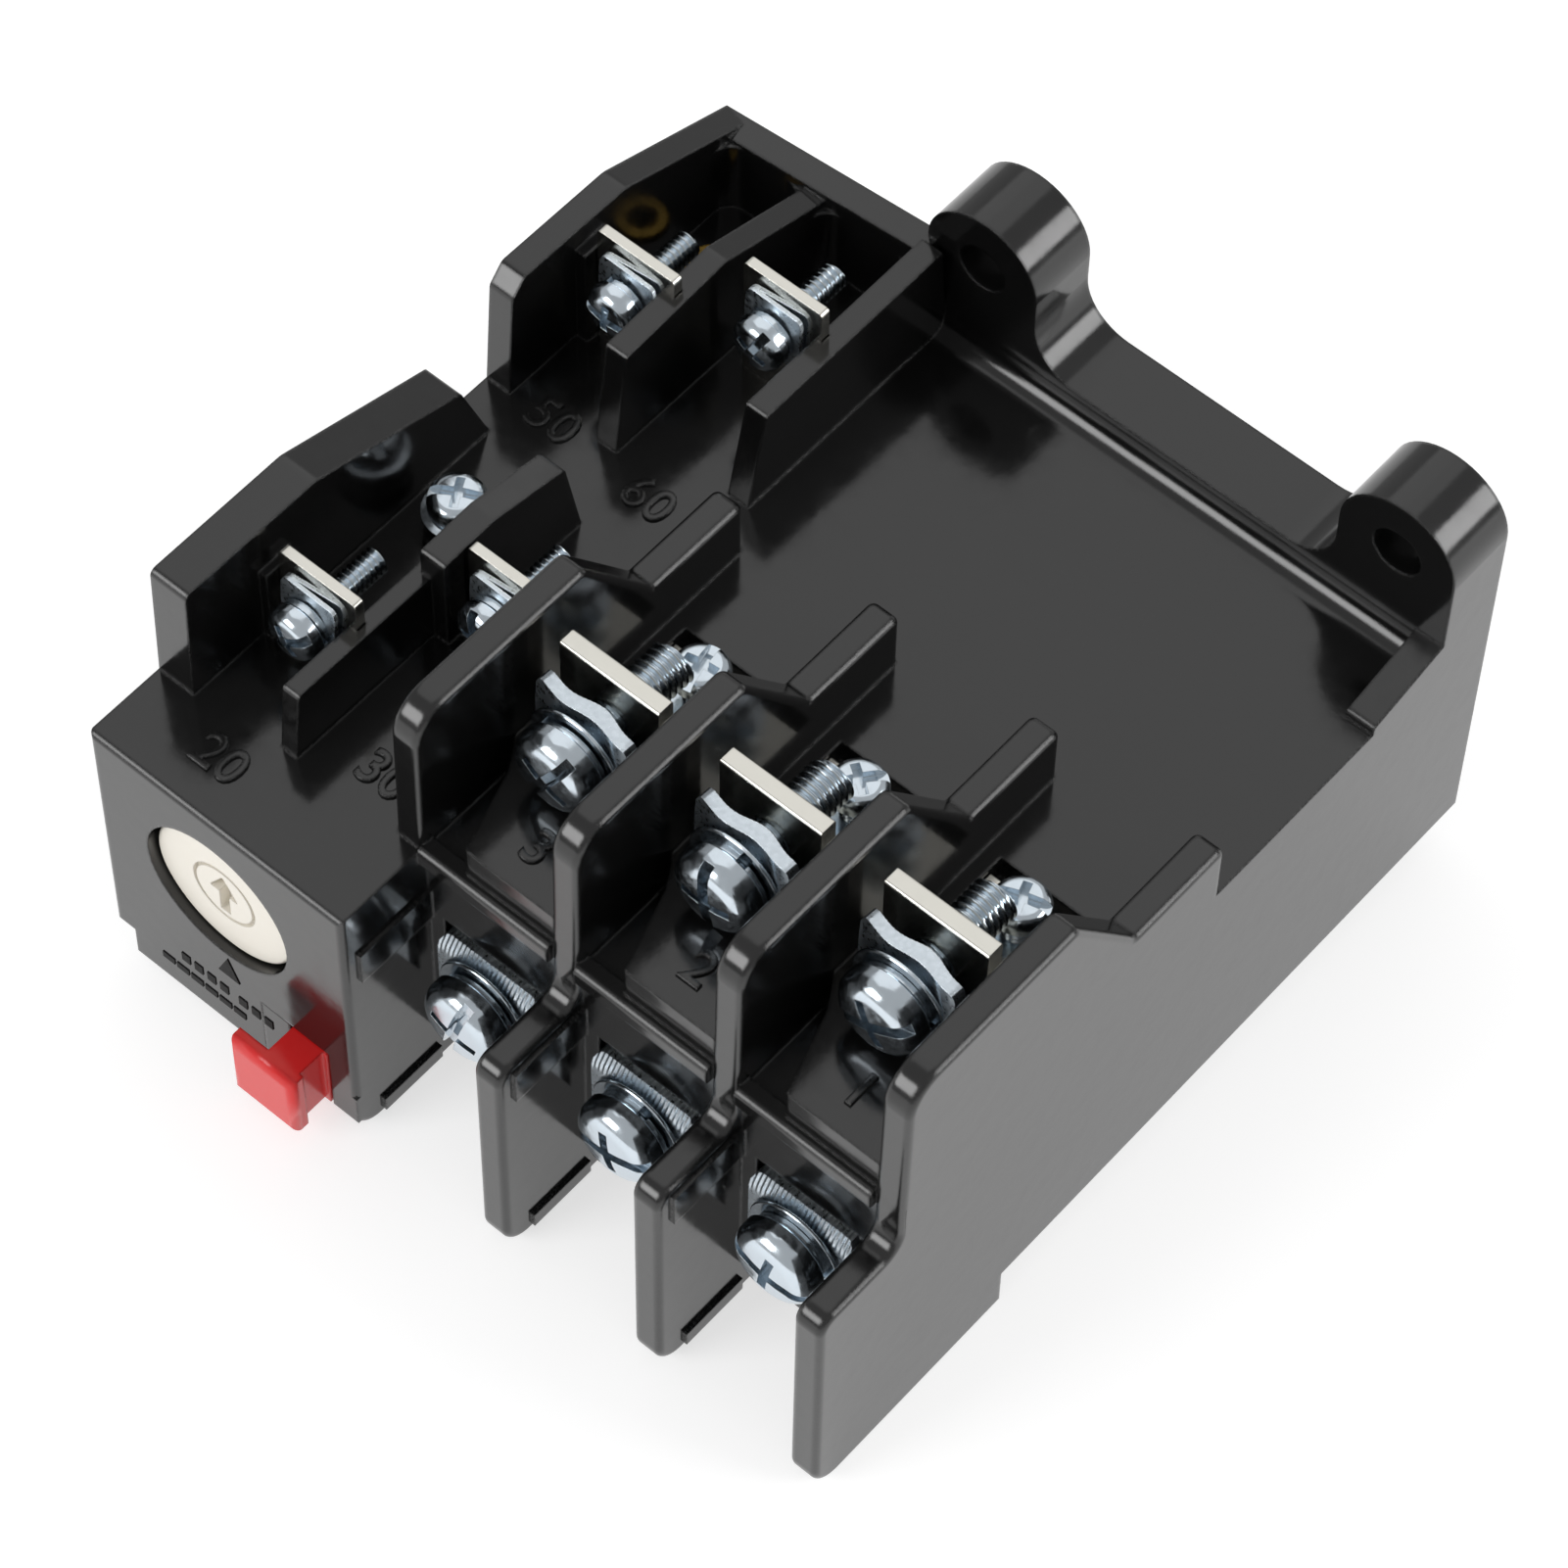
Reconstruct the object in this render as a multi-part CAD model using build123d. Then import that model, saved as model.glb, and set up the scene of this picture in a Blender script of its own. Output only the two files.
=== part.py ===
"""Three-pole thermal overload protector, a moulded relay that trips on motor overcurrent.

X runs across the three poles, Y from the terminal side back to the mounting wall, Z up from
the base cover. The origin is on the underside, at the middle of the body's footprint. Depths
in this file are measured back from the front of the barriers.
"""
import os
from math import cos, pi, sin

from build123d import *

os.makedirs("parts", exist_ok=True)

# Overall moulding
WIDTH = 90.0
DEPTH = 97.0
BASE_HEIGHT = 5.5
DECK_Z = 38.3
DECK_THICKNESS = 3.0
EDGE_ROUND = 0.7
COVER_INSET = 2.6
RIM_T = 2.0
FLOOR_T = 2.0

# Poles and their barriers
POLES = 3
BARRIER = 3.3
LEDGE_Z = 32.2
RIDGE_Z = 58.3
RIDGE_FRONT = 11.2
RIDGE_BACK = 33.9
SLOPE_BACK = 43.1
RIB_Z = 45.8
RIB_BACK = 55.8
SKIRT_BACK = 27.2
POLE_FRONT = 11.4
SHELF_Z = 42.9
SHELF_INSET = 5.1
SHELF_STEP = 2.2
SHELF_SIDE_DEPTH = 9.0
BROW_PROUD = 1.2
BROW_DROP = 2.0
BROW_RISE = 0.7
PAD_T = 0.4
PAD_FRONT = 1.8
PAD_Z0 = 26.4
PAD_Z1 = 31.0
SKIRTING_FRONT = 3.4
SKIRTING_Z0 = 0.8
SKIRTING_Z1 = 2.8

# Rear wall and its two mounting ears
WALL_FRONT = 88.9
SADDLE_Z = 41.8
EAR_Z = 50.8
EAR_R = 6.7
EAR_SPACING = 50.0
EAR_FLARE_R = 5.5
EAR_HOLE_R = 2.75
REAR_RIB_LENGTH = 10.2
REAR_RIB_RISE = 3.6
FOOT_R = 2.4

# Setting block, on the left, with two pairs of auxiliary terminals on top
BLOCK_DEPTH = 90.0
FACE_BOTTOM = 2.2
FACE_WALL = 2.6
BLOCK_WALL = 7.0
COLUMN_INSET = 10.8
COLUMN_BACK = 17.4
COLUMN_TOP = 17.0

# Auxiliary boxes: thickness and place of each wall, depths of its feet, and its upper corners
# as depth and height
OUTER_FRONT_T = 4.5
OUTER_FRONT_FEET = (9.4, 51.4)
OUTER_FRONT_TOP = [(9.9, 53.7), (27.2, 53.8), (46.7, 47.7)]
LOW_DIVIDER = (14.6, 16.6)
LOW_DIVIDER_FEET = (10.4, 30.6)
LOW_DIVIDER_TOP = [(11.6, 47.3), (30.6, 47.3)]
HIGH_DIVIDER = (15.4, 18.4)
HIGH_DIVIDER_FEET = (29.4, 48.6)
HIGH_DIVIDER_TOP = [(29.4, 50.6), (36.4, 50.9), (46.0, 48.9)]
OUTER_REAR_T = 3.0
OUTER_REAR_FEET = (54.6, 90.0)
OUTER_REAR_TOP = [(55.8, 51.9), (57.6, 53.9), (72.0, 53.8), (90.0, 47.4)]
REAR_DIVIDER = (12.8, 15.4)
REAR_DIVIDER_FEET = (56.0, 88.0)
REAR_DIVIDER_TOP = [(58.1, 51.5), (72.4, 52.6), (88.0, 47.8)]
REAR_RIGHT = (26.6, 29.2)
REAR_RIGHT_FEET = (59.2, 89.4)
REAR_RIGHT_TOP = [(62.4, 50.2), (88.0, 50.6)]
BACK_WALL_FRONT = 86.8
BACK_WALL_Z0 = 47.4
BACK_WALL_Z1 = 50.4
CORNER_R = 2.2
GUIDE_POST = 1.6
GUIDE_POST_RISE = 2.4

# Main terminals
PLATE_W = 12.0
PLATE_T = 2.0
UPPER_PLATE_FRONT = 28.0
UPPER_AXIS_Z = 48.3
UPPER_PLATE_TOP = 55.3
FOOT_TOP_Z = 37.6
FOOT_BACK = 44.0
WELL_BACK = 45.4
LOWER_PLATE_FRONT = 12.4
LOWER_AXIS_Z = 21.0
LOWER_PLATE_H = 13.0
LEG_T = 1.8
LEG_H = 4.0
LEG_BACK = 47.0
MAIN_THREAD_R = 2.5
MAIN_HEAD_R = 4.7
MAIN_HEAD_H = 3.3
UPPER_HEAD_FRONT = 18.9
UPPER_SCREW_END = 36.8
LOWER_HEAD_FRONT = 5.3
LOWER_SCREW_END = 22.0
CLAMP_W = 12.0
CLAMP_H = 10.7
CLAMP_T = 1.2
CLAMP_BOW_R = 20.0
LOCK_T = 1.1
LOCK_R = 4.3
LOCK_GAP = 0.8

# Element screws, upright behind each upper terminal
ELEMENT_DEPTH = 40.6
ELEMENT_THREAD_R = 1.75
ELEMENT_HEAD_R = 2.95
ELEMENT_HEAD_H = 2.3
ELEMENT_HEAD_TOP = 43.9
ELEMENT_SCREW_END = 30.0
ELEMENT_WASHER_R = 3.4
ELEMENT_WASHER_T = 0.8

# Auxiliary terminals: each spot is the inset of its middle from the left side, the depth of
# the plate's front and the height of the screw
AUX_PLATE_W = 9.8
AUX_PLATE_T = 1.1
AUX_PLATE_RISE = 5.3
AUX_PLATE_FOOT = 33.0
AUX_THREAD_R = 1.5
AUX_HEAD_R = 3.0
AUX_HEAD_H = 2.3
AUX_CLAMP_W = 6.6
AUX_CLAMP_H = 7.8
AUX_CLAMP_T = 0.8
AUX_CLAMP_BOW_R = 12.0
AUX_CLAMP_GAP = 0.8
AUX_TAIL = 7.8
AUX_LOCK_T = 0.8
AUX_LOCK_R = 2.8
AUX_PLACES = [(10.6, 20.6, 45.7), (23.6, 32.3, 45.9), (9.4, 66.1, 49.0), (22.4, 72.4, 49.0)]
STRAP_T = 1.0
STRAP_LAP = 4.3
NC_STRAP_Z0 = 12.0
NC_STRAP_Z1 = 18.0
NO_STRAP_Z0 = 4.5
NO_STRAP_Z1 = 10.0
NO_STRAP_Z2 = 18.7
NO_STRAP_LAP = 2.6
CONTACT_LAND = 1.8

# Brass eyelet in the floor behind the third auxiliary terminal
EYELET_INSET = 7.6
EYELET_DEPTH = 79.2
EYELET_R = 2.7
EYELET_TUBE_R = 2.0
EYELET_HOLE_R = 1.5
EYELET_FLANGE = 0.6

# Upright screw that selects hand or automatic reset
MODE_INSET = 10.0
MODE_DEPTH = 40.0
MODE_HEAD_TOP = 44.0
MODE_BOSS_TOP = 40.9
MODE_SCREW_END = 30.5
MODE_BOSS_R = 3.3
MODE_NUT_R = 2.4
MODE_WASHER_R = 3.6

# Dial, cam and setting lever
DIAL_INSET = 15.3
DIAL_Z = 24.7
DIAL_R = 8.7
DIAL_T = 2.6
DIAL_RECESS = 1.0
DIAL_SPINDLE_R = 2.8
DIAL_SQUARE = 3.6
DIAL_NECK_R = 1.5
DIAL_RING_R = 3.6
DIAL_RING_W = 0.4
DIAL_RING_DEEP = 0.5
POINTER_TIP = 3.0
POINTER_BARB = 1.9
POINTER_HALF = 0.65
POINTER_DEEP = 1.3
CAM_T = 3.0
CAM_R = 5.4
CAM_RISE_PER_TURN = 3.0
CAM_STEPS = 16
CLIP_T = 0.8
CLIP_R = 3.1
CLIP_MOUTH = 1.1
BUTT_R = 2.0
BUTT_T = 0.6
SETTING_INSET = 7.0
SETTING_PIVOT = 50.0
SETTING_T = 1.6
SETTING_Z0 = 20.6
SETTING_Z1 = 28.8
SETTING_HEAD_BACK = 16.0
SETTING_NECK = 20.0
SETTING_WAIST = 2.0
SETTING_NOSE_HALF = 2.5
PIN_R = 1.0
PIN_HEAD_R = 1.8
PIN_HEAD_H = 0.8
KNUCKLE_R = 2.0
SETTING_BOSS_R = 2.6

# Reset button and its spring
BUTTON_INSET = 24.4
BUTTON_W = 8.3
BUTTON_Z0 = 2.4
BUTTON_Z1 = 11.2
BUTTON_PROUD = 5.0
BUTTON_BACK = 13.0
BUTTON_GAP = 0.25
BUTTON_ROUND = 0.9
BUTTON_ROOM = 1.0
BUTTON_ROOM_Z = 13.2
TUNNEL_BACK = 34.0
FLANGE_LIP = 1.2
FLANGE_T = 2.0
RESET_ROD_R = 1.2
RESET_ROD_END = 32.2
SPRING_SEAT = 30.5
SPRING_SEAT_T = 1.5
SPRING_SEAT_HALF = 4.0
SPRING_SEAT_RISE = 3.0
SPRING_R = 2.2
SPRING_WIRE_R = 0.3
SPRING_TURNS = 6

# Chambers, bimetal strips and their heaters
CHAMBER_WALL = 1.0
CHAMBER_FRONT = 30.0
CHAMBER_BACK = 86.9
CHAMBER_TOP = 32.4
STRIP_T = 1.0
STRIP_Z0 = 9.0
STRIP_Z1 = 19.0
STRIP_FRONT = 31.0
STRIP_BACK = 84.0
HOLDER_T = 1.2
HOLDER_FRONT = 32.0
HOLDER_BACK = 40.0
FLANGE_HALF = 4.0
HEATER_FRONT = 44.0
HEATER_BACK = 68.0
HEATER_CORE = 1.1
HEATER_RIDGE = 1.6
HEATER_RIDGES = 8
HEATER_RIDGE_SHARE = 0.7
RIVET_R = 0.9
RIVET_HEAD_R = 1.5
RIVET_HEAD_T = 0.7
RIVET_OFFSET = 2.5

# Trip slider, compensating lever, push rod and contact leaf
SLIDER_FRONT = 79.0
SLIDER_BACK = 83.0
SLIDER_H = 4.2
RAIL_TOP = 3.0
SLIDER_INSET = 11.0
SLIDER_MARGIN = 9.0
SLIDER_WINDOW = 1.5
SADDLE_INSET = 21.0
SADDLE_OFFSET = 1.2
SADDLE_HALF = 2.0
SADDLE_WALL = 1.4
FINGER_T = 2.0
FINGER_TOP = 16.0
FINGER_TAPER = 0.5
LEVER_INSET = 10.2
LEVER_PIVOT = 58.0
LEVER_T = 1.0
LEVER_FRONT = 38.6
LEVER_BACK = 85.0
LEVER_Z0 = 3.6
LEVER_Z1 = 17.6
LEVER_BEND_TOP = 64.0
LEVER_BEND_LOW = 52.0
LEVER_TAIL_Z = 9.6
LEVER_ARM = 2.6
LEVER_BOSS_R = 3.2
LEVER_SOCKET_R = 2.8
PIN_SINK = 1.0
PIN_RISE = 6.0
ROD_DEPTH = 40.6
ROD_Z = 15.0
ROD_R = 1.2
GUIDE_INSET = 13.3
GUIDE_T = 2.4
GUIDE_HALF = 2.6
LEAF_INSET = 19.0
LEAF_T = 0.4
LEAF_FRONT = 35.0
LEAF_ROOT = 65.0
LEAF_Z0 = 11.5
LEAF_Z1 = 18.5
CONTACT_R = 1.5
CONTACT_T = 1.0
CONTACT_SHANK_R = 0.8
CONTACT_DEPTH = 37.2
NC_STRAP_INSET = 16.8
NO_STRAP_INSET = 23.6
NO_CONTACT_T = 0.9
OUT_STRAP_INSET = 26.8
LINK_Z0 = 20.0
LINK_Z1 = 26.0
LINK_HALF = 3.0
LINK_ROOT_HALF = 2.0

# Cover screws: one in the setting block, one in a barrier and two along the back
COVER_SCREW_INSET = 7.7
COVER_SCREW_FRONT = 12.2
COVER_SCREW_MIDDLE = 34.0
COVER_SCREW_BACK = 90.4
COVER_SCREW_MARGIN = 9.0
COVER_SCREW_SPAN = 44.0
COVER_SCREW_R = 1.45
COVER_HEAD_R = 2.9
COVER_SCREW_TOP = 13.5
COVER_BOSS_R = 3.4
COVER_CROSS_HALF = 1.7
COVER_CROSS_T = 0.7
COVER_CROSS_DEEP = 0.9

# Fits
RUN = 0.05
EASE = 0.3
SEAT = 0.1

FRONT_Y = -DEPTH / 2
LEFT = -WIDTH / 2
RIGHT = WIDTH / 2
BLOCK_W = BUTTON_INSET + BUTTON_W / 2 + BUTTON_GAP
POLE_PITCH = (WIDTH - BLOCK_W - BARRIER) / POLES
BARRIER_X = [RIGHT - BARRIER / 2 - POLE_PITCH * i for i in range(POLES + 1)]
POLE_X = [RIGHT - BARRIER / 2 - POLE_PITCH * (i + 0.5) for i in range(POLES)]
BAY_W = POLE_PITCH - BARRIER
CHAMBER_HALF = BAY_W / 2 - CHAMBER_WALL
BLOCK_RIGHT = BARRIER_X[-1] + BARRIER / 2
POLES_LEFT = BARRIER_X[-1] - BARRIER / 2
EARS_MID = RIGHT - EAR_R - EAR_SPACING / 2
EAR_X = [EARS_MID - EAR_SPACING / 2, EARS_MID + EAR_SPACING / 2]
CEILING_Z = DECK_Z - DECK_THICKNESS
WELL_FLOOR = FOOT_TOP_Z - PLATE_T
SIDE_WALL = COVER_INSET + RIM_T
CAM_FRONT = BLOCK_WALL + RUN
CAM_BACK = CAM_FRONT + CAM_T
SLIDER_Z0 = RAIL_TOP + RUN
SLIDER_Z1 = SLIDER_Z0 + SLIDER_H
BUTTON_MID_Z = (BUTTON_Z0 + BUTTON_Z1) / 2
LOWER_PLATE_Z0 = LOWER_AXIS_Z - LOWER_PLATE_H / 2
LOWER_PLATE_Z1 = LOWER_AXIS_Z + LOWER_PLATE_H / 2
DIAL_X = LEFT + DIAL_INSET
NOSE_X = DIAL_X - CAM_R - EASE
SETTING_X = LEFT + SETTING_INSET
MODE_X = LEFT + MODE_INSET
BUTTON_X = LEFT + BUTTON_INSET
SLIDER_LEFT = LEFT + SLIDER_INSET
SLIDER_RIGHT = RIGHT - SLIDER_MARGIN
SADDLES = [LEFT + SADDLE_INSET, POLE_X[2] - SADDLE_OFFSET, POLE_X[0] + SADDLE_OFFSET]
LEVER_X = LEFT + LEVER_INSET
GUIDE_X0 = LEFT + GUIDE_INSET
GUIDE_X1 = GUIDE_X0 + GUIDE_T
LEAF_X = LEFT + LEAF_INSET
NC_STRAP_X = LEFT + NC_STRAP_INSET
NO_STRAP_X = LEFT + NO_STRAP_INSET
NO_FACE_X = NO_STRAP_X - NO_CONTACT_T
OUT_STRAP_X = LEFT + OUT_STRAP_INSET
AUX_SPOTS = [(LEFT + inset, depth, z) for inset, depth, z in AUX_PLACES]
NC_IN, NC_OUT, NO_IN, NO_OUT = AUX_SPOTS
RIVET_Z = LINK_Z0 + LINK_HALF
LEVER_PIN_TOP = LEVER_Z1 + PIN_RISE
SETTING_PIN_TOP = CEILING_Z - PIN_SINK
EYELET_X = LEFT + EYELET_INSET
EYELET_BOTTOM = CEILING_Z + EASE
COVER_SCREWS = [(LEFT + COVER_SCREW_INSET, COVER_SCREW_FRONT)]
COVER_SCREWS += [(BARRIER_X[1], COVER_SCREW_MIDDLE)]
COVER_SCREWS += [(RIGHT - COVER_SCREW_MARGIN - COVER_SCREW_SPAN, COVER_SCREW_BACK)]
COVER_SCREWS += [(RIGHT - COVER_SCREW_MARGIN, COVER_SCREW_BACK)]


def y_at(depth):
    """Y of a plane that lies this far behind the front of the barriers."""
    return FRONT_Y + depth


def block(x0, x1, d0, d1, z0, z1):
    """Rectangular block between two X values, two depths and two heights."""
    middle = ((x0 + x1) / 2, y_at((d0 + d1) / 2), (z0 + z1) / 2)
    return Pos(*middle) * Box(x1 - x0, d1 - d0, z1 - z0)


def rod_y(x, z, radius, d0, d1):
    """Round rod along the depth."""
    return Pos(x, y_at((d0 + d1) / 2), z) * Rot(90, 0, 0) * Cylinder(radius, d1 - d0)


def rod_x(depth, z, radius, x0, x1):
    """Round rod across the poles."""
    return Pos((x0 + x1) / 2, y_at(depth), z) * Rot(0, 90, 0) * Cylinder(radius, x1 - x0)


def rod_z(x, depth, radius, z0, z1):
    """Upright round rod."""
    return Pos(x, y_at(depth), (z0 + z1) / 2) * Cylinder(radius, z1 - z0)


def side_plate(x0, x1, corners, radii):
    """Plate with an outline in depth and height, between two X values."""
    points = [(y_at(d), z) for d, z in corners]
    outline = FilletPolyline(*points, radius=radii, close=True)
    return extrude(Plane.YZ.offset(x0) * make_face(outline), amount=x1 - x0)


def front_plate(d0, d1, corners, radii):
    """Plate with an outline across the poles and in height, between two depths."""
    plane = Plane(origin=(0, y_at(d1), 0), x_dir=(1, 0, 0), z_dir=(0, -1, 0))
    outline = FilletPolyline(*corners, radius=radii, close=True)
    return extrude(plane * make_face(outline), amount=d1 - d0)


def flat_plate(z0, z1, corners, radii):
    """Plate with an outline in plan, between two heights."""
    points = [(x, y_at(d)) for x, d in corners]
    outline = FilletPolyline(*points, radius=radii, close=True)
    return extrude(Plane.XY.offset(z0) * make_face(outline), amount=z1 - z0)


def soften(solid, radius, test):
    """Round the edges of a solid that pass a test."""
    return fillet([edge for edge in solid.edges() if test(edge)], radius)


def group(pieces):
    """Separate solids that share one name, such as identical screws."""
    return Compound([solid for piece in pieces for solid in piece.solids()])


def write(name, shape):
    """Write one named piece."""
    export_step(shape, f"parts/{name}.step")


# Barriers: a ledge over the lower terminal, a tall fin, and a low rib on the deck
def barrier(middle_x):
    corners = [(0, 0), (SKIRT_BACK, 0), (SKIRT_BACK, BASE_HEIGHT), (RIB_BACK, BASE_HEIGHT)]
    corners += [(RIB_BACK, RIB_Z), (SLOPE_BACK, RIB_Z), (RIDGE_BACK, RIDGE_Z)]
    corners += [(RIDGE_FRONT, RIDGE_Z), (POLE_FRONT - 0.6, LEDGE_Z), (0, LEDGE_Z)]
    radii = [3.2, 0, 0, 0, 1.0, 0.8, 1.2, 4.0, 2.2, 2.0]
    fin = side_plate(middle_x - BARRIER / 2, middle_x + BARRIER / 2, corners, radii)
    front = y_at(RIB_BACK) - SEAT
    return soften(fin, EDGE_ROUND, lambda e: on_face(e, middle_x) and e.center().Y < front)


def on_face(edge, middle_x):
    """True for an edge that lies in one of a barrier's two flat sides."""
    box = edge.bounding_box()
    return box.size.X < 1e-6 and abs(abs(box.center().X - middle_x) - BARRIER / 2) < 1e-6


def ear_wall():
    """Rear wall: low between two half-round ears, with flared shoulders and a rounded foot."""
    left, right = EAR_X
    corners = [(left - EAR_R, BASE_HEIGHT), (left - EAR_R, EAR_Z + EAR_R)]
    corners += [(left + EAR_R, EAR_Z + EAR_R), (left + EAR_R, SADDLE_Z)]
    corners += [(right - EAR_R, SADDLE_Z), (right - EAR_R, EAR_Z + EAR_R)]
    corners += [(right + EAR_R, EAR_Z + EAR_R), (right + EAR_R, BASE_HEIGHT)]
    crown = EAR_R - 0.01
    radii = [0, crown, crown, EAR_FLARE_R, EAR_FLARE_R, crown, crown, 0]
    wall = front_plate(WALL_FRONT, DEPTH, corners, radii)
    foot_front = WALL_FRONT - FOOT_R
    foot = block(POLES_LEFT, RIGHT - BARRIER, foot_front, WALL_FRONT, DECK_Z, DECK_Z + FOOT_R)
    return wall + (foot - rod_x(foot_front, DECK_Z + FOOT_R, FOOT_R, POLES_LEFT, RIGHT))


def deck_wall(x0, x1, feet, tops, radii):
    """Wall that stands on the deck, between two depths, with these corners above its feet."""
    corners = [(feet[0], CEILING_Z), *tops, (feet[1], CEILING_Z)]
    return side_plate(x0, x1, corners, [0, *radii, 0])


def aux_walls():
    """Open boxes around the two pairs of auxiliary terminals."""
    walls = deck_wall(LEFT, LEFT + OUTER_FRONT_T, OUTER_FRONT_FEET, OUTER_FRONT_TOP, [0.8, 3.0, 0.6])
    low, high, rear, right = [
        [LEFT + inset for inset in wall]
        for wall in (LOW_DIVIDER, HIGH_DIVIDER, REAR_DIVIDER, REAR_RIGHT)
    ]
    walls += deck_wall(*low, LOW_DIVIDER_FEET, LOW_DIVIDER_TOP, [0.5, 0])
    walls += deck_wall(*high, HIGH_DIVIDER_FEET, HIGH_DIVIDER_TOP, [0.6, 0.6, 0.6])
    walls += deck_wall(LEFT, LEFT + OUTER_REAR_T, OUTER_REAR_FEET, OUTER_REAR_TOP, [1.0, 1.0, 3.0, 0])
    walls += deck_wall(*rear, REAR_DIVIDER_FEET, REAR_DIVIDER_TOP, [0.5, 1.5, 0])
    walls += deck_wall(*right, REAR_RIGHT_FEET, REAR_RIGHT_TOP, [0.5, 0])
    end = EAR_X[0] - EAR_R + 1.0
    back = [(LEFT, CEILING_Z), (LEFT, BACK_WALL_Z0), (end, BACK_WALL_Z1), (end, CEILING_Z)]
    walls += front_plate(BACK_WALL_FRONT, BLOCK_DEPTH, back, [0, 0, 0, 0])
    corners = [(LEFT + OUTER_REAR_T, 1), (rear[0], -1), (rear[1], 1), (right[0], -1)]
    for x, side in corners:
        walls += inner_corner(x, side)
    walls += guide_post(LEFT + OUTER_FRONT_T, NC_IN)
    return walls + guide_post(LEFT + OUTER_REAR_T, NO_IN)


def inner_corner(x, side):
    """Rounded filling between the back wall and a wall beside it."""
    front = BACK_WALL_FRONT - CORNER_R
    middle = x + side * CORNER_R
    filling = Pos((x + middle) / 2, y_at(front + CORNER_R / 2), (CEILING_Z + BACK_WALL_Z0) / 2)
    filling = filling * Box(CORNER_R, CORNER_R, BACK_WALL_Z0 - CEILING_Z)
    return filling - rod_z(middle, front, CORNER_R, CEILING_Z - 1, BACK_WALL_Z0 + 1)


def guide_post(wall, spot):
    """Post between an outer wall and the edge of the plate beside it."""
    x, front, axis_z = spot
    right = x - AUX_PLATE_W / 2 - SEAT
    back = front + AUX_PLATE_T + GUIDE_POST
    return block(wall, right, front - GUIDE_POST, back, CEILING_Z, axis_z + GUIDE_POST_RISE)


# Housing: the black moulding that carries every other piece
def housing():
    body = block(LEFT, BLOCK_RIGHT, 0, BLOCK_DEPTH, BASE_HEIGHT, DECK_Z)
    body = soften(body, EDGE_ROUND, lambda e: e.center().Y < y_at(SEAT))
    body += block(LEFT + COVER_INSET, BLOCK_RIGHT, 0, FACE_WALL, FACE_BOTTOM, BASE_HEIGHT + 1.0)
    body += block(POLES_LEFT, RIGHT, POLE_FRONT, DEPTH, BASE_HEIGHT, DECK_Z)
    for x in BARRIER_X:
        body += barrier(x)
    body += ear_wall()
    body += aux_walls()
    body += rear_rib()
    for x in POLE_X:
        body += shelf(x)
        body += brow(x)
    for x in BARRIER_X[1:]:
        body += barrier_pads(x + BARRIER / 2)
    body -= cavity()
    for x in POLE_X:
        body -= pole_cuts(x)
    body += inner_bosses()
    body -= setting_cuts()
    for x in EAR_X:
        body -= rod_y(x, EAR_Z, EAR_HOLE_R, WALL_FRONT - 1, DEPTH + 1)
    for x, depth in COVER_SCREWS:
        body -= rod_z(x, depth, COVER_SCREW_R, 0, COVER_SCREW_TOP)
    return body - rod_z(EYELET_X, EYELET_DEPTH, EYELET_TUBE_R, CEILING_Z - 1, DECK_Z + 1)


def rear_rib():
    """Low sloping rib on the right side wall, running into the rear wall."""
    low = DECK_Z - 1.0
    front = WALL_FRONT - REAR_RIB_LENGTH
    outline = [(front, low), (WALL_FRONT + 1, low), (WALL_FRONT + 1, DECK_Z + REAR_RIB_RISE)]
    outline += [(front, DECK_Z + 1.0)]
    return side_plate(RIGHT - BARRIER, RIGHT, outline, [0, 0, 0, 0.5])


def shelf(x):
    """Raised floor under an upper terminal, cut back on the left of the bay."""
    left = x - BAY_W / 2
    right = x + BAY_W / 2
    back = UPPER_PLATE_FRONT + PLATE_T
    corners = [(left + SHELF_INSET, POLE_FRONT), (right, POLE_FRONT), (right, back)]
    corners += [(left, back), (left, UPPER_PLATE_FRONT - 4.0)]
    corners += [(left + SHELF_STEP, POLE_FRONT + SHELF_SIDE_DEPTH)]
    return flat_plate(DECK_Z - 1, SHELF_Z, corners, [0.6, 0, 0, 0, 0, 0])


def brow(x):
    """Rounded lip across a bay, over the lower terminal."""
    front = POLE_FRONT - BROW_PROUD
    left = x - BAY_W / 2
    lip = block(left, left + BAY_W, front, POLE_FRONT + 1, DECK_Z - BROW_DROP, DECK_Z + BROW_RISE)
    return soften(lip, EDGE_ROUND, lambda e: e.length > BAY_W - 1 and e.center().Y < y_at(front) + 1e-6)


def barrier_pads(x):
    """Raised pads on the right side of a barrier, one near its top and one along its foot."""
    pads = block(x, x + PAD_T, PAD_FRONT, POLE_FRONT, PAD_Z0, PAD_Z1)
    return pads + block(x, x + PAD_T, SKIRTING_FRONT, POLE_FRONT, SKIRTING_Z0, SKIRTING_Z1)


def cavity():
    """Chambers, open below: one for the setting gear and contacts, and one for each pole."""
    left = LEFT + SIDE_WALL
    space = block(left, POLES_LEFT, BLOCK_WALL, BLOCK_DEPTH - SIDE_WALL, 0, CEILING_Z)
    room_left = BUTTON_X - BUTTON_W / 2 - FLANGE_LIP - BUTTON_ROOM
    space += block(room_left, POLES_LEFT, FACE_WALL, BLOCK_WALL + 1, 0, BUTTON_ROOM_Z)
    for x in POLE_X:
        half = CHAMBER_HALF
        space += block(x - half, x + half, CHAMBER_FRONT, CHAMBER_BACK, 0, CHAMBER_TOP)
    window_front = SLIDER_FRONT - SLIDER_WINDOW
    window_back = SLIDER_BACK + SLIDER_WINDOW
    space += block(left, RIGHT - SIDE_WALL, window_front, window_back, 0, SLIDER_Z1 + 0.8)
    return space


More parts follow.
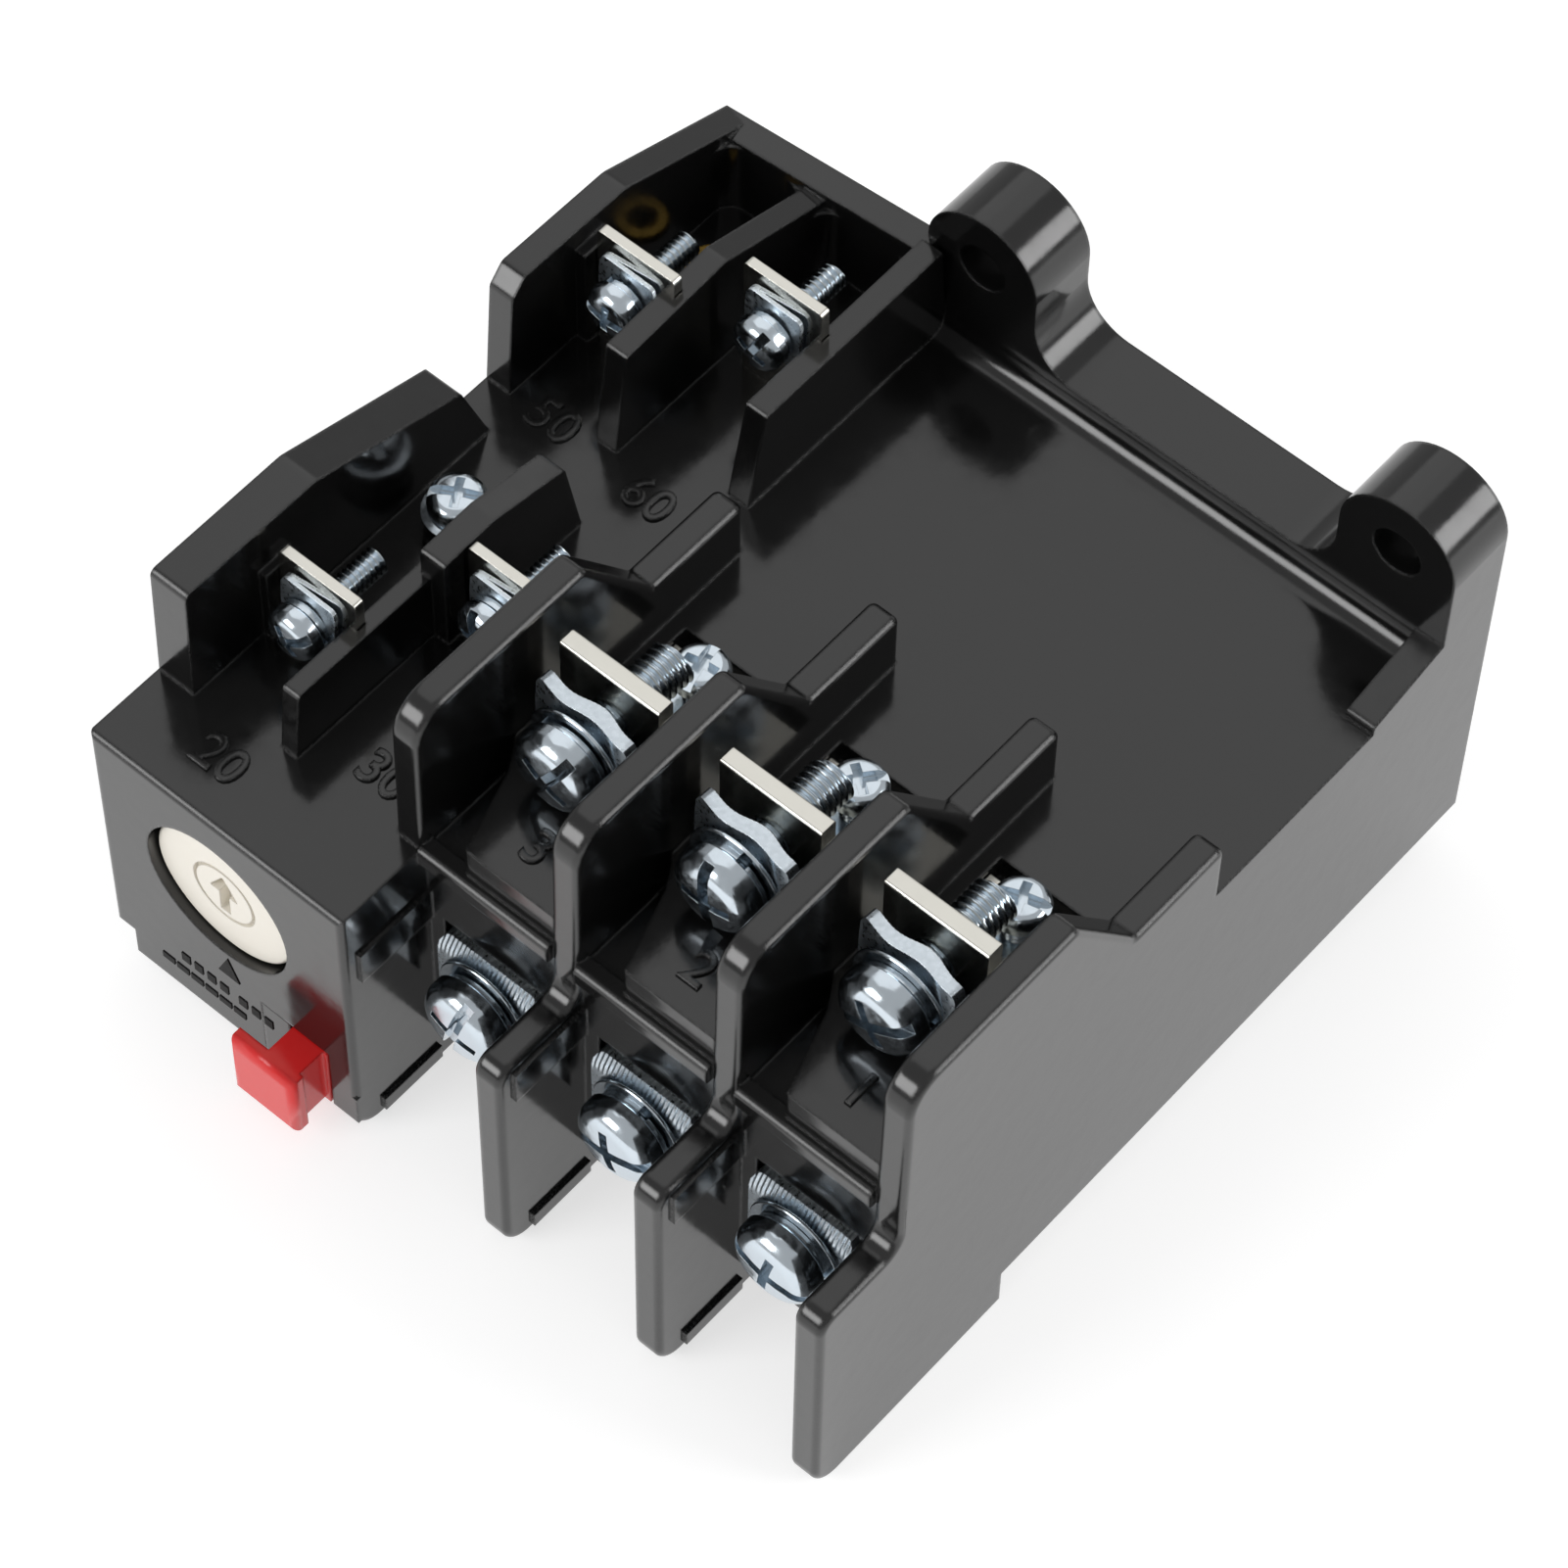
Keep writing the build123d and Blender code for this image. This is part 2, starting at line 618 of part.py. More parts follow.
def pole_cuts(x):
    """Slots, wells and screw clearances for the two terminals of one pole."""
    half = PLATE_W / 2 + SEAT
    cuts = block(x - half, x + half, UPPER_PLATE_FRONT, WELL_BACK, WELL_FLOOR, SHELF_Z + 1)
    pocket_back = LOWER_PLATE_FRONT + PLATE_T
    bottom = LOWER_PLATE_Z0 - SEAT
    top = LOWER_PLATE_Z1 + SEAT
    cuts += block(x - half, x + half, POLE_FRONT - 1, pocket_back, bottom, top)
    leg_right = x - HEATER_RIDGE
    leg_left = leg_right - LEG_T
    leg_top = LOWER_PLATE_Z0 + LEG_H + SEAT
    leg_left -= SEAT
    cuts += block(leg_left, leg_right + SEAT, LOWER_PLATE_FRONT, CHAMBER_FRONT + 1, bottom, leg_top)
    cuts += rod_y(x, LOWER_AXIS_Z, MAIN_THREAD_R + 0.5, LOWER_PLATE_FRONT, LOWER_SCREW_END + 1)
    cuts += rod_z(x, ELEMENT_DEPTH, ELEMENT_THREAD_R + 0.4, CHAMBER_TOP - 1, WELL_FLOOR + 1)
    return cuts


def inner_bosses():
    """Bosses for the pins, the mode screw and one cover screw, and the guide of the push rod."""
    top = CEILING_Z + 0.5
    bosses = rod_z(LEVER_X, LEVER_PIVOT, LEVER_BOSS_R, LEVER_Z1 + EASE, top)
    bosses -= rod_z(LEVER_X, LEVER_PIVOT, PIN_R, 0, LEVER_PIN_TOP)
    pivot = rod_z(SETTING_X, SETTING_PIVOT, SETTING_BOSS_R, SETTING_Z1 + EASE, top)
    bosses += pivot - rod_z(SETTING_X, SETTING_PIVOT, PIN_R, 0, SETTING_PIN_TOP)
    bosses += rod_z(MODE_X, MODE_DEPTH, MODE_NUT_R, MODE_SCREW_END, top)
    bosses += rod_z(MODE_X, MODE_DEPTH, MODE_BOSS_R, CEILING_Z, MODE_BOSS_TOP)
    guide_front = ROD_DEPTH - GUIDE_HALF
    guide_back = ROD_DEPTH + GUIDE_HALF
    guide = block(GUIDE_X0, GUIDE_X1, guide_front, guide_back, ROD_Z - GUIDE_HALF, top)
    bosses += guide - rod_x(ROD_DEPTH, ROD_Z, ROD_R + RUN, GUIDE_X0 - 1, GUIDE_X1 + 1)
    left = LEFT + SIDE_WALL - 1
    right = LEFT + COLUMN_INSET
    return bosses + block(left, right, BLOCK_WALL - 1, COLUMN_BACK, BASE_HEIGHT, COLUMN_TOP)


def setting_cuts():
    """Dial recess, spindle hole, button window, deck slots and the mode screw's hole."""
    recess_back = DIAL_RECESS + DIAL_T + RUN
    cuts = rod_y(DIAL_X, DIAL_Z, DIAL_R + EASE, -1, recess_back)
    cuts += rod_y(DIAL_X, DIAL_Z, DIAL_SPINDLE_R + RUN, 0, BLOCK_WALL + 1)
    side = BUTTON_W / 2 + BUTTON_GAP
    top = BUTTON_Z1 + BUTTON_GAP
    cuts += block(BUTTON_X - side, BUTTON_X + side, -1, FACE_WALL + 1, 0, top)
    half = AUX_PLATE_W / 2 + SEAT
    for x, depth, axis_z in AUX_SPOTS:
        plate_back = depth + AUX_PLATE_T
        cuts += block(x - half, x + half, depth, plate_back, AUX_PLATE_FOOT, axis_z + 20)
    cuts += rod_z(MODE_X, MODE_DEPTH, AUX_THREAD_R, MODE_SCREW_END - 1, MODE_BOSS_TOP + 1)
    return cuts


# Base cover: a tray screwed up into the housing, with rails, a pin socket and a spring seat
def cover_outline(margin):
    """Corners of the cover in plan, drawn in from its edge by a margin."""
    left = LEFT + COVER_INSET + margin
    front = FACE_WALL + SEAT + margin
    tongue_right = POLES_LEFT - SEAT - margin
    main_front = SKIRT_BACK + EASE + margin
    right = RIGHT - COVER_INSET - margin
    back = DEPTH - COVER_INSET - margin
    step_x = EAR_X[0] - EAR_R + COVER_INSET + margin
    step_back = BLOCK_DEPTH - COVER_INSET - margin
    corners = [(left, front), (tongue_right, front), (tongue_right, main_front)]
    corners += [(right, main_front), (right, back), (step_x, back), (step_x, step_back)]
    return corners + [(left, step_back)]


def base_cover():
    outer_radii = [1.5, 0, 0, 1.5, 1.5, 1.5, 0, 1.5]
    inner_radii = [0.5, 0, 0, 0.5, 0.5, 0.5, 0, 0.5]
    tray = flat_plate(0, BASE_HEIGHT, cover_outline(0), outer_radii)
    tray -= flat_plate(FLOOR_T, BASE_HEIGHT + 1, cover_outline(RIM_T), inner_radii)
    button_left = BUTTON_X - BUTTON_W / 2 - FLANGE_LIP - BUTTON_ROOM
    tray -= block(button_left, POLES_LEFT + 1, 0, TUNNEL_BACK, FLOOR_T, BASE_HEIGHT + 1)
    saddle_front = SLIDER_FRONT - SADDLE_WALL
    saddle_back = SLIDER_BACK + SADDLE_WALL
    for x in SADDLES:
        right = x + SADDLE_HALF
        saddle = block(x - SADDLE_HALF, right, saddle_front, saddle_back, FLOOR_T, BASE_HEIGHT)
        groove_front = SLIDER_FRONT - RUN
        groove_back = SLIDER_BACK + RUN
        groove = block(x - SADDLE_HALF, right, groove_front, groove_back, RAIL_TOP, BASE_HEIGHT)
        tray += saddle - groove
    tray += rod_z(LEVER_X, LEVER_PIVOT, LEVER_SOCKET_R, FLOOR_T, LEVER_Z0 - EASE)
    tray -= rod_z(LEVER_X, LEVER_PIVOT, PIN_R, FLOOR_T - PIN_SINK, LEVER_Z0)
    seat_back = SPRING_SEAT + SPRING_SEAT_T
    left = BUTTON_X - SPRING_SEAT_HALF
    right = BUTTON_X + SPRING_SEAT_HALF
    seat = block(left, right, SPRING_SEAT, seat_back, FLOOR_T, BUTTON_MID_Z + SPRING_SEAT_RISE)
    tray += seat - rod_y(BUTTON_X, BUTTON_MID_Z, RESET_ROD_R + RUN, SPRING_SEAT - 1, seat_back + 1)
    for x, depth in COVER_SCREWS:
        tray += rod_z(x, depth, COVER_BOSS_R, FLOOR_T, BASE_HEIGHT)
    for x, depth in COVER_SCREWS:
        tray -= countersunk_screw(x, depth, COVER_SCREW_TOP)
    return tray


def countersunk_screw(x, depth, top):
    """Screw driven up from below, its head flush with the underside."""
    cone_h = COVER_HEAD_R - COVER_SCREW_R
    cone = Cone(COVER_HEAD_R, COVER_SCREW_R, cone_h)
    return Pos(x, y_at(depth), cone_h / 2) * cone + rod_z(x, depth, COVER_SCREW_R, 0, top)


def cover_screw(x, depth):
    """Countersunk screw with a crossed recess."""
    screw = countersunk_screw(x, depth, COVER_SCREW_TOP)
    across = COVER_CROSS_HALF
    half = COVER_CROSS_T / 2
    screw -= block(x - across, x + across, depth - half, depth + half, -1, COVER_CROSS_DEEP)
    return screw - block(x - half, x + half, depth - across, depth + across, -1, COVER_CROSS_DEEP)


# Main terminals
def upper_terminal(x):
    """Bent plate: an upright face for the wire and a foot under the element screw."""
    plate_back = UPPER_PLATE_FRONT + PLATE_T
    corners = [(UPPER_PLATE_FRONT, UPPER_PLATE_TOP), (UPPER_PLATE_FRONT, WELL_FLOOR)]
    corners += [(FOOT_BACK, WELL_FLOOR), (FOOT_BACK, FOOT_TOP_Z), (plate_back, FOOT_TOP_Z)]
    corners += [(plate_back, UPPER_PLATE_TOP)]
    plate = side_plate(x - PLATE_W / 2, x + PLATE_W / 2, corners, [0.3, 2.4, 0.3, 0.3, 0.8, 0.3])
    plate -= rod_y(x, UPPER_AXIS_Z, MAIN_THREAD_R, UPPER_PLATE_FRONT - 1, plate_back + 1)
    plate -= rod_z(x, ELEMENT_DEPTH, ELEMENT_THREAD_R, WELL_FLOOR - 1, FOOT_TOP_Z + 1)
    return plate


def lower_terminal(x):
    """Plate in the front pocket, with a leg that runs back to the heater."""
    half = PLATE_W / 2
    plate_back = LOWER_PLATE_FRONT + PLATE_T
    plate = block(x - half, x + half, LOWER_PLATE_FRONT, plate_back, LOWER_PLATE_Z0, LOWER_PLATE_Z1)
    leg_right = x - HEATER_RIDGE
    leg_left = leg_right - LEG_T
    leg_top = LOWER_PLATE_Z0 + LEG_H
    plate += block(leg_left, leg_right, LOWER_PLATE_FRONT, LEG_BACK, LOWER_PLATE_Z0, leg_top)
    plate -= rod_y(x, LOWER_AXIS_Z, MAIN_THREAD_R, LOWER_PLATE_FRONT - 1, plate_back + 1)
    return plate


# Screws, clamps and washers
def pan_screw(head_r, head_h, thread_r, length, turn):
    """Pan-head screw with a slot and a cross, its head above Z = 0 and its thread below."""
    head = Pos(0, 0, head_h / 2) * Cylinder(head_r, head_h)
    head = fillet(head.edges().sort_by(Axis.Z)[-1], head_h * 0.45)
    slot_w = head_r * 0.24
    slot_depth = head_h * 0.4
    head -= Pos(0, 0, head_h) * Box(head_r * 2.2, slot_w, slot_depth * 2)
    head -= Pos(0, 0, head_h) * Box(slot_w, head_r * 1.2, slot_depth * 2.4)
    shank = Pos(0, 0, -length / 2) * Cylinder(thread_r, length)
    return Rot(0, 0, turn) * (head + shank)


def front_screw(x, head_front, z, head_r, head_h, thread_r, end, turn):
    """Pan-head screw that faces the front."""
    screw = pan_screw(head_r, head_h, thread_r, end - head_front - head_h, turn)
    return Pos(x, y_at(head_front + head_h), z) * Rot(90, 0, 0) * screw


def top_screw(x, depth, head_top, head_r, head_h, thread_r, end_z, turn):
    """Pan-head screw that faces up."""
    screw = pan_screw(head_r, head_h, thread_r, head_top - head_h - end_z, turn)
    return Pos(x, y_at(depth), head_top - head_h) * screw


def bowed_clamp(x, front, z, width, height, thickness, bow_r, hole_r):
    """Square clamping plate, bowed so that its top and bottom edges reach back."""
    axis = front + thickness + bow_r
    plate = rod_x(axis, z, bow_r + thickness, x - width / 2, x + width / 2)
    plate -= rod_x(axis, z, bow_r, x - width, x + width)
    half = height / 2
    plate &= block(x - width, x + width, front - 1, front + bow_r / 2, z - half, z + half)
    plate -= rod_y(x, z, hole_r, front - 1, front + bow_r / 2)
    corner = width * 0.12
    for side in (-1, 1):
        for end in (-1, 1):
            cut = Pos(x + side * width / 2, y_at(front), z + end * half) * Rot(0, 45, 0)
            plate -= cut * Box(corner, 4 * thickness, corner)
    return plate


def lock_washer(x, front, z, outer_r, inner_r, thickness):
    """Split spring washer that faces the front."""
    ring = rod_y(x, z, outer_r, front, front + thickness)
    ring -= rod_y(x, z, inner_r, front - 1, front + thickness + 1)
    return ring - block(x, x + LOCK_GAP, front - 1, front + thickness + 1, z, z + outer_r + 1)


def main_fasteners():
    """Screws, washers and clamps of the six main terminals."""
    screws = []
    washers = []
    clamps = []
    turn = 25.0
    upper = (UPPER_HEAD_FRONT, UPPER_AXIS_Z, UPPER_SCREW_END)
    lower = (LOWER_HEAD_FRONT, LOWER_AXIS_Z, LOWER_SCREW_END)
    for head_front, z, end in (upper, lower):
        lock_front = head_front + MAIN_HEAD_H
        clamp_front = lock_front + LOCK_T
        for x in POLE_X:
            screw = front_screw(x, head_front, z, MAIN_HEAD_R, MAIN_HEAD_H, MAIN_THREAD_R, end, turn)
            screws.append(screw)
            washers.append(lock_washer(x, lock_front, z, LOCK_R, MAIN_THREAD_R, LOCK_T))
            clamp = bowed_clamp(x, clamp_front, z, CLAMP_W, CLAMP_H, CLAMP_T, CLAMP_BOW_R, MAIN_THREAD_R)
            clamps.append(clamp)
            turn += 47.0
    write("main_screws", group(screws))
    write("main_lock_washers", group(washers))
    write("main_clamps", group(clamps))


def element_fasteners():
    """Upright screws and washers that fix the upper terminals and strip holders."""
    screws = []
    washers = []
    washer_top = FOOT_TOP_Z + ELEMENT_WASHER_T
    for i, x in enumerate(POLE_X):
        turn = 15.0 + 38.0 * i
        screws.append(top_screw(x, ELEMENT_DEPTH, ELEMENT_HEAD_TOP, ELEMENT_HEAD_R,
                                ELEMENT_HEAD_H, ELEMENT_THREAD_R, ELEMENT_SCREW_END, turn))
        washer = rod_z(x, ELEMENT_DEPTH, ELEMENT_WASHER_R, FOOT_TOP_Z, washer_top)
        hole = rod_z(x, ELEMENT_DEPTH, ELEMENT_THREAD_R, FOOT_TOP_Z - 1, washer_top + 1)
        washers.append(washer - hole)
    write("element_screws", group(screws))
    write("element_washers", group(washers))


def aux_fasteners():
    """Screws, washers and clamps of the four auxiliary terminals."""
    screws = []
    washers = []
    clamps = []
    for i, (x, plate_front, z) in enumerate(AUX_SPOTS):
        clamp_front = plate_front - AUX_CLAMP_GAP - AUX_CLAMP_T
        lock_front = clamp_front - AUX_LOCK_T
        head_front = lock_front - AUX_HEAD_H
        end = plate_front + AUX_TAIL
        turn = 70.0 * i
        screws.append(front_screw(x, head_front, z, AUX_HEAD_R, AUX_HEAD_H, AUX_THREAD_R, end, turn))
        washers.append(lock_washer(x, lock_front, z, AUX_LOCK_R, AUX_THREAD_R, AUX_LOCK_T))
        clamps.append(bowed_clamp(x, clamp_front, z, AUX_CLAMP_W, AUX_CLAMP_H, AUX_CLAMP_T,
                                  AUX_CLAMP_BOW_R, AUX_THREAD_R))
    write("aux_screws", group(screws))
    write("aux_lock_washers", group(washers))
    write("aux_clamps", group(clamps))


def mode_fasteners():
    """Upright screw beside the first pair of auxiliary terminals, on a washer."""
    screw = top_screw(MODE_X, MODE_DEPTH, MODE_HEAD_TOP, AUX_HEAD_R, AUX_HEAD_H, AUX_THREAD_R,
                      MODE_SCREW_END, 30.0)
    washer_top = MODE_HEAD_TOP - AUX_HEAD_H
    washer = rod_z(MODE_X, MODE_DEPTH, MODE_WASHER_R, MODE_BOSS_TOP, washer_top)
    washer -= rod_z(MODE_X, MODE_DEPTH, AUX_THREAD_R, MODE_BOSS_TOP - 1, washer_top + 1)
    write("mode_screw", screw)
    write("mode_washer", washer)


# Auxiliary terminals: each plate stands in a slot of the deck and carries a strap inside
def aux_plate(spot):
    x, front, axis_z = spot
    half = AUX_PLATE_W / 2
    back = front + AUX_PLATE_T
    plate = block(x - half, x + half, front, back, AUX_PLATE_FOOT, axis_z + AUX_PLATE_RISE)
    plate = soften(plate, 0.5, lambda e: e.center().Z > axis_z + 5 and abs(e.center().X - x) > 4)
    return plate - rod_y(x, axis_z, AUX_THREAD_R, front - 1, back + 1)


def terminal_95():
    """Feeds the fixed contact that is closed at rest."""
    front = NC_IN[1]
    back = front + AUX_PLATE_T
    left = NC_STRAP_X - STRAP_T
    strap = block(left - STRAP_LAP, NC_STRAP_X, front, back, NC_STRAP_Z0, AUX_PLATE_FOOT)
    land = CONTACT_DEPTH + CONTACT_LAND
    strap += block(left, NC_STRAP_X, front, land, NC_STRAP_Z0, NC_STRAP_Z1)
    strap -= rod_x(CONTACT_DEPTH, ROD_Z, CONTACT_SHANK_R, left - 1, NC_STRAP_X + 1)
    return aux_plate(NC_IN) + strap


def terminal_96():
    """Carries the root of the contact leaf and the link to the fourth terminal."""
    front = NC_OUT[1]
    left = OUT_STRAP_X - STRAP_T
    back = front + AUX_PLATE_T
    strap = block(left - STRAP_LAP, OUT_STRAP_X, front, back, LINK_Z0, AUX_PLATE_FOOT)
    link_back = NO_IN[1]
    strap += block(left, OUT_STRAP_X, front, link_back, LINK_Z0, LINK_Z1)
    link = block(NO_IN[0] - LINK_HALF, OUT_STRAP_X, LEAF_ROOT, link_back, LINK_Z0, LINK_Z1)
    half = LINK_ROOT_HALF
    link += block(LEAF_X - half, LEAF_X + half, LEAF_ROOT, link_back, LEAF_Z0, LINK_Z0)
    link -= rod_y(NO_IN[0], RIVET_Z, RIVET_R, LEAF_ROOT - 1, link_back + 1)
    return aux_plate(NC_OUT) + strap + link


def terminal_98():
    """Stands against the link of the second terminal."""
    x, front, _ = NO_IN
    back = front + AUX_PLATE_T
    leg = block(x - LINK_HALF, x + LINK_HALF, front, back, LINK_Z0, AUX_PLATE_FOOT)
    leg -= rod_y(x, RIVET_Z, RIVET_R, front - 1, back + 1)
    return aux_plate(NO_IN) + leg


def terminal_97():
    """Feeds the fixed contact that is open at rest."""
    front = NO_OUT[1]
    right = NO_STRAP_X + STRAP_T
    left = NO_STRAP_X - NO_STRAP_LAP
    land = CONTACT_DEPTH - CONTACT_LAND
    land_back = CONTACT_DEPTH + CONTACT_LAND
    strap = block(left, right, front, front + AUX_PLATE_T, NO_STRAP_Z0, AUX_PLATE_FOOT)
    strap += block(NO_STRAP_X, right, land, front, NO_STRAP_Z0, NO_STRAP_Z1)
    strap += block(NO_STRAP_X, right, land, land_back, NO_STRAP_Z1, NO_STRAP_Z2)
    strap -= rod_x(CONTACT_DEPTH, ROD_Z, CONTACT_SHANK_R, NO_STRAP_X - 1, right + 1)
    return aux_plate(NO_OUT) + strap


def link_rivet():
    """Rivet that joins the link to the fourth terminal's leg."""
    x, joint, _ = NO_IN
    z = RIVET_Z
    back = joint + AUX_PLATE_T
    rivet = rod_y(x, z, RIVET_R, LEAF_ROOT, back)
    rivet += rod_y(x, z, RIVET_HEAD_R, LEAF_ROOT - RIVET_HEAD_T, LEAF_ROOT)
    return rivet + rod_y(x, z, RIVET_HEAD_R, back, back + RIVET_HEAD_T)


def eyelet():
    """Rolled tube with a flange, set in the floor of the third terminal's box."""
    flange_top = DECK_Z + EYELET_FLANGE
    tube = rod_z(EYELET_X, EYELET_DEPTH, EYELET_TUBE_R, EYELET_BOTTOM, DECK_Z)
    tube += rod_z(EYELET_X, EYELET_DEPTH, EYELET_R, DECK_Z, flange_top)
    tube -= rod_z(EYELET_X, EYELET_DEPTH, EYELET_HOLE_R, EYELET_BOTTOM - 1, flange_top + 1)
    return soften(tube, EYELET_FLANGE / 3, lambda e: abs(e.center().Z - flange_top) < 1e-6)


# Contacts
def contact_leaf():
    """Springy strip that carries the moving contact."""
    left = LEAF_X - LEAF_T / 2
    right = LEAF_X + LEAF_T / 2
    corners = [(LEAF_FRONT, LEAF_Z0), (LEAF_FRONT, LEAF_Z1), (LEAF_ROOT - SEAT, LEAF_Z1)]
    corners += [(LEAF_ROOT - SEAT, LEAF_Z0)]
    leaf = side_plate(left, right, corners, [1.5, 1.5, 0, 0])
    return leaf - rod_x(CONTACT_DEPTH, ROD_Z, CONTACT_SHANK_R, left - 1, right + 1)


def moving_contact():
    """Rivet through the leaf, with a contact face on each side."""
    left = LEAF_X - LEAF_T / 2
    right = LEAF_X + LEAF_T / 2
    rivet = rod_x(CONTACT_DEPTH, ROD_Z, CONTACT_SHANK_R, left, right)
    rivet += rod_x(CONTACT_DEPTH, ROD_Z, CONTACT_R, left - CONTACT_T, left)
    return rivet + rod_x(CONTACT_DEPTH, ROD_Z, CONTACT_R, right, right + CONTACT_T)


def nc_contact():
    """Fixed contact that the moving one rests against."""
    face = LEAF_X - LEAF_T / 2 - CONTACT_T
    rivet = rod_x(CONTACT_DEPTH, ROD_Z, CONTACT_R, NC_STRAP_X, face)
    return rivet + rod_x(CONTACT_DEPTH, ROD_Z, CONTACT_SHANK_R, NC_STRAP_X - STRAP_T, NC_STRAP_X)


def no_contact():
    """Fixed contact that the moving one reaches when the protector trips."""
    rivet = rod_x(CONTACT_DEPTH, ROD_Z, CONTACT_R, NO_FACE_X, NO_STRAP_X)
    return rivet + rod_x(CONTACT_DEPTH, ROD_Z, CONTACT_SHANK_R, NO_STRAP_X, NO_STRAP_X + STRAP_T)


# Bimetal strips, heaters and holders, one set in each pole's chamber
def bimetal(x):
    strip = block(x - STRIP_T / 2, x + STRIP_T / 2, STRIP_FRONT, STRIP_BACK, STRIP_Z0, STRIP_Z1)
    for z in rivet_heights():
        strip -= rod_x(rivet_depth(), z, RIVET_R, x - STRIP_T, x + STRIP_T)
    return strip


def rivet_heights():
    """Heights of the two rivets in each strip."""
    middle = (STRIP_Z0 + STRIP_Z1) / 2
    return (middle - RIVET_OFFSET, middle + RIVET_OFFSET)


def rivet_depth():
    """Depth of the rivets, midway along a holder."""
    return (HOLDER_FRONT + HOLDER_BACK) / 2


def strip_holder(x):
    """Angle bracket that hangs a strip from the element screw."""
    left = x + STRIP_T / 2
    right = left + HOLDER_T
    holder = block(left, right, HOLDER_FRONT, HOLDER_BACK, STRIP_Z0, CHAMBER_TOP)
    flange_back = ELEMENT_DEPTH + FLANGE_HALF
    half = FLANGE_HALF
    holder += block(x - half, x + half, HOLDER_FRONT, flange_back, CHAMBER_TOP - PLATE_T, CHAMBER_TOP)
    holder -= rod_z(x, ELEMENT_DEPTH, ELEMENT_THREAD_R, CHAMBER_TOP - PLATE_T - 1, CHAMBER_TOP + 1)
    for z in rivet_heights():
        holder -= rod_x(rivet_depth(), z, RIVET_R, x, right + 1)
    return holder


def strip_rivets(x):
    """Two rivets through a strip and its holder."""
    left = x - STRIP_T / 2
    right = x + STRIP_T / 2 + HOLDER_T
    rivets = []
    for z in rivet_heights():
        rivet = rod_x(rivet_depth(), z, RIVET_R, left, right)
        rivet += rod_x(rivet_depth(), z, RIVET_HEAD_R, left - RIVET_HEAD_T, left)
        rivet += rod_x(rivet_depth(), z, RIVET_HEAD_R, right, right + RIVET_HEAD_T)
        rivets.append(rivet)
    return rivets


def heater(x):
    """Resistance ribbon wound round the strip, turn beside turn."""
    core_z0 = STRIP_Z0 - HEATER_CORE + STRIP_T / 2
    core_z1 = STRIP_Z1 + HEATER_CORE - STRIP_T / 2
    coil = block(x - HEATER_CORE, x + HEATER_CORE, HEATER_FRONT, HEATER_BACK, core_z0, core_z1)
    pitch = (HEATER_BACK - HEATER_FRONT) / HEATER_RIDGES
    swell = HEATER_RIDGE - HEATER_CORE
    for i in range(HEATER_RIDGES):
        front = HEATER_FRONT + pitch * i
        back = front + pitch * HEATER_RIDGE_SHARE
        z0 = core_z0 - swell
        coil += block(x - HEATER_RIDGE, x + HEATER_RIDGE, front, back, z0, core_z1 + swell)
    half = STRIP_T / 2
    return coil - block(x - half, x + half, HEATER_FRONT - 1, HEATER_BACK + 1, STRIP_Z0, STRIP_Z1)


# Trip gear: slider, compensating lever, push rod
def trip_slider():
    """Insulating bar across the poles, with a finger beside each strip."""
    nose_r = (SLIDER_BACK - SLIDER_FRONT) / 2
    middle = (SLIDER_BACK + SLIDER_FRONT) / 2
    left = SLIDER_LEFT + nose_r
    slider = block(left, SLIDER_RIGHT, SLIDER_FRONT, SLIDER_BACK, SLIDER_Z0, SLIDER_Z1)
    slider += rod_z(left, middle, nose_r, SLIDER_Z0, SLIDER_Z1)
    for x in POLE_X:
        right = x - STRIP_T / 2 - EASE
        corners = [(SLIDER_FRONT, SLIDER_Z1 - 1), (SLIDER_BACK, SLIDER_Z1 - 1)]
        corners += [(SLIDER_BACK - FINGER_TAPER, FINGER_TOP)]
        corners += [(SLIDER_FRONT + FINGER_TAPER, FINGER_TOP)]
        slider += side_plate(right - FINGER_T, right, corners, [0, 0, 0.6, 0.6])
    return slider


def compensator_lever():
    """Second bimetal, a lever that turns the slider's push towards the contacts."""
    left = LEVER_X - LEVER_T / 2
    arm_z = ROD_Z - LEVER_ARM
    corners = [(LEVER_FRONT, arm_z), (LEVER_FRONT, LEVER_Z1), (LEVER_BEND_TOP, LEVER_Z1)]
    corners += [(LEVER_BACK, LEVER_TAIL_Z), (LEVER_BACK, LEVER_Z0), (LEVER_BEND_LOW, LEVER_Z0)]
    corners += [(LEVER_BEND_LOW, arm_z)]
    lever = side_plate(left, left + LEVER_T, corners, [1, 1, 3, 1, 1, 1, 2])
    lever += rod_z(LEVER_X, LEVER_PIVOT, KNUCKLE_R, LEVER_Z0, LEVER_Z1)
    return lever - rod_z(LEVER_X, LEVER_PIVOT, PIN_R + RUN, LEVER_Z0 - 1, LEVER_Z1 + 1)


def compensator_pin():
    """Pin of the compensating lever, between the base cover and the housing."""
    return rod_z(LEVER_X, LEVER_PIVOT, PIN_R, FLOOR_T - PIN_SINK, LEVER_PIN_TOP)


def push_rod():
    """Insulating rod between the compensating lever and the contact leaf."""
    left = LEVER_X + LEVER_T / 2 + EASE
    right = LEAF_X - LEAF_T / 2 - EASE
    rod = rod_x(ROD_DEPTH, ROD_Z, ROD_R, left, right)
    return soften(rod, 0.4, lambda e: e.bounding_box().size.X < 1e-6)


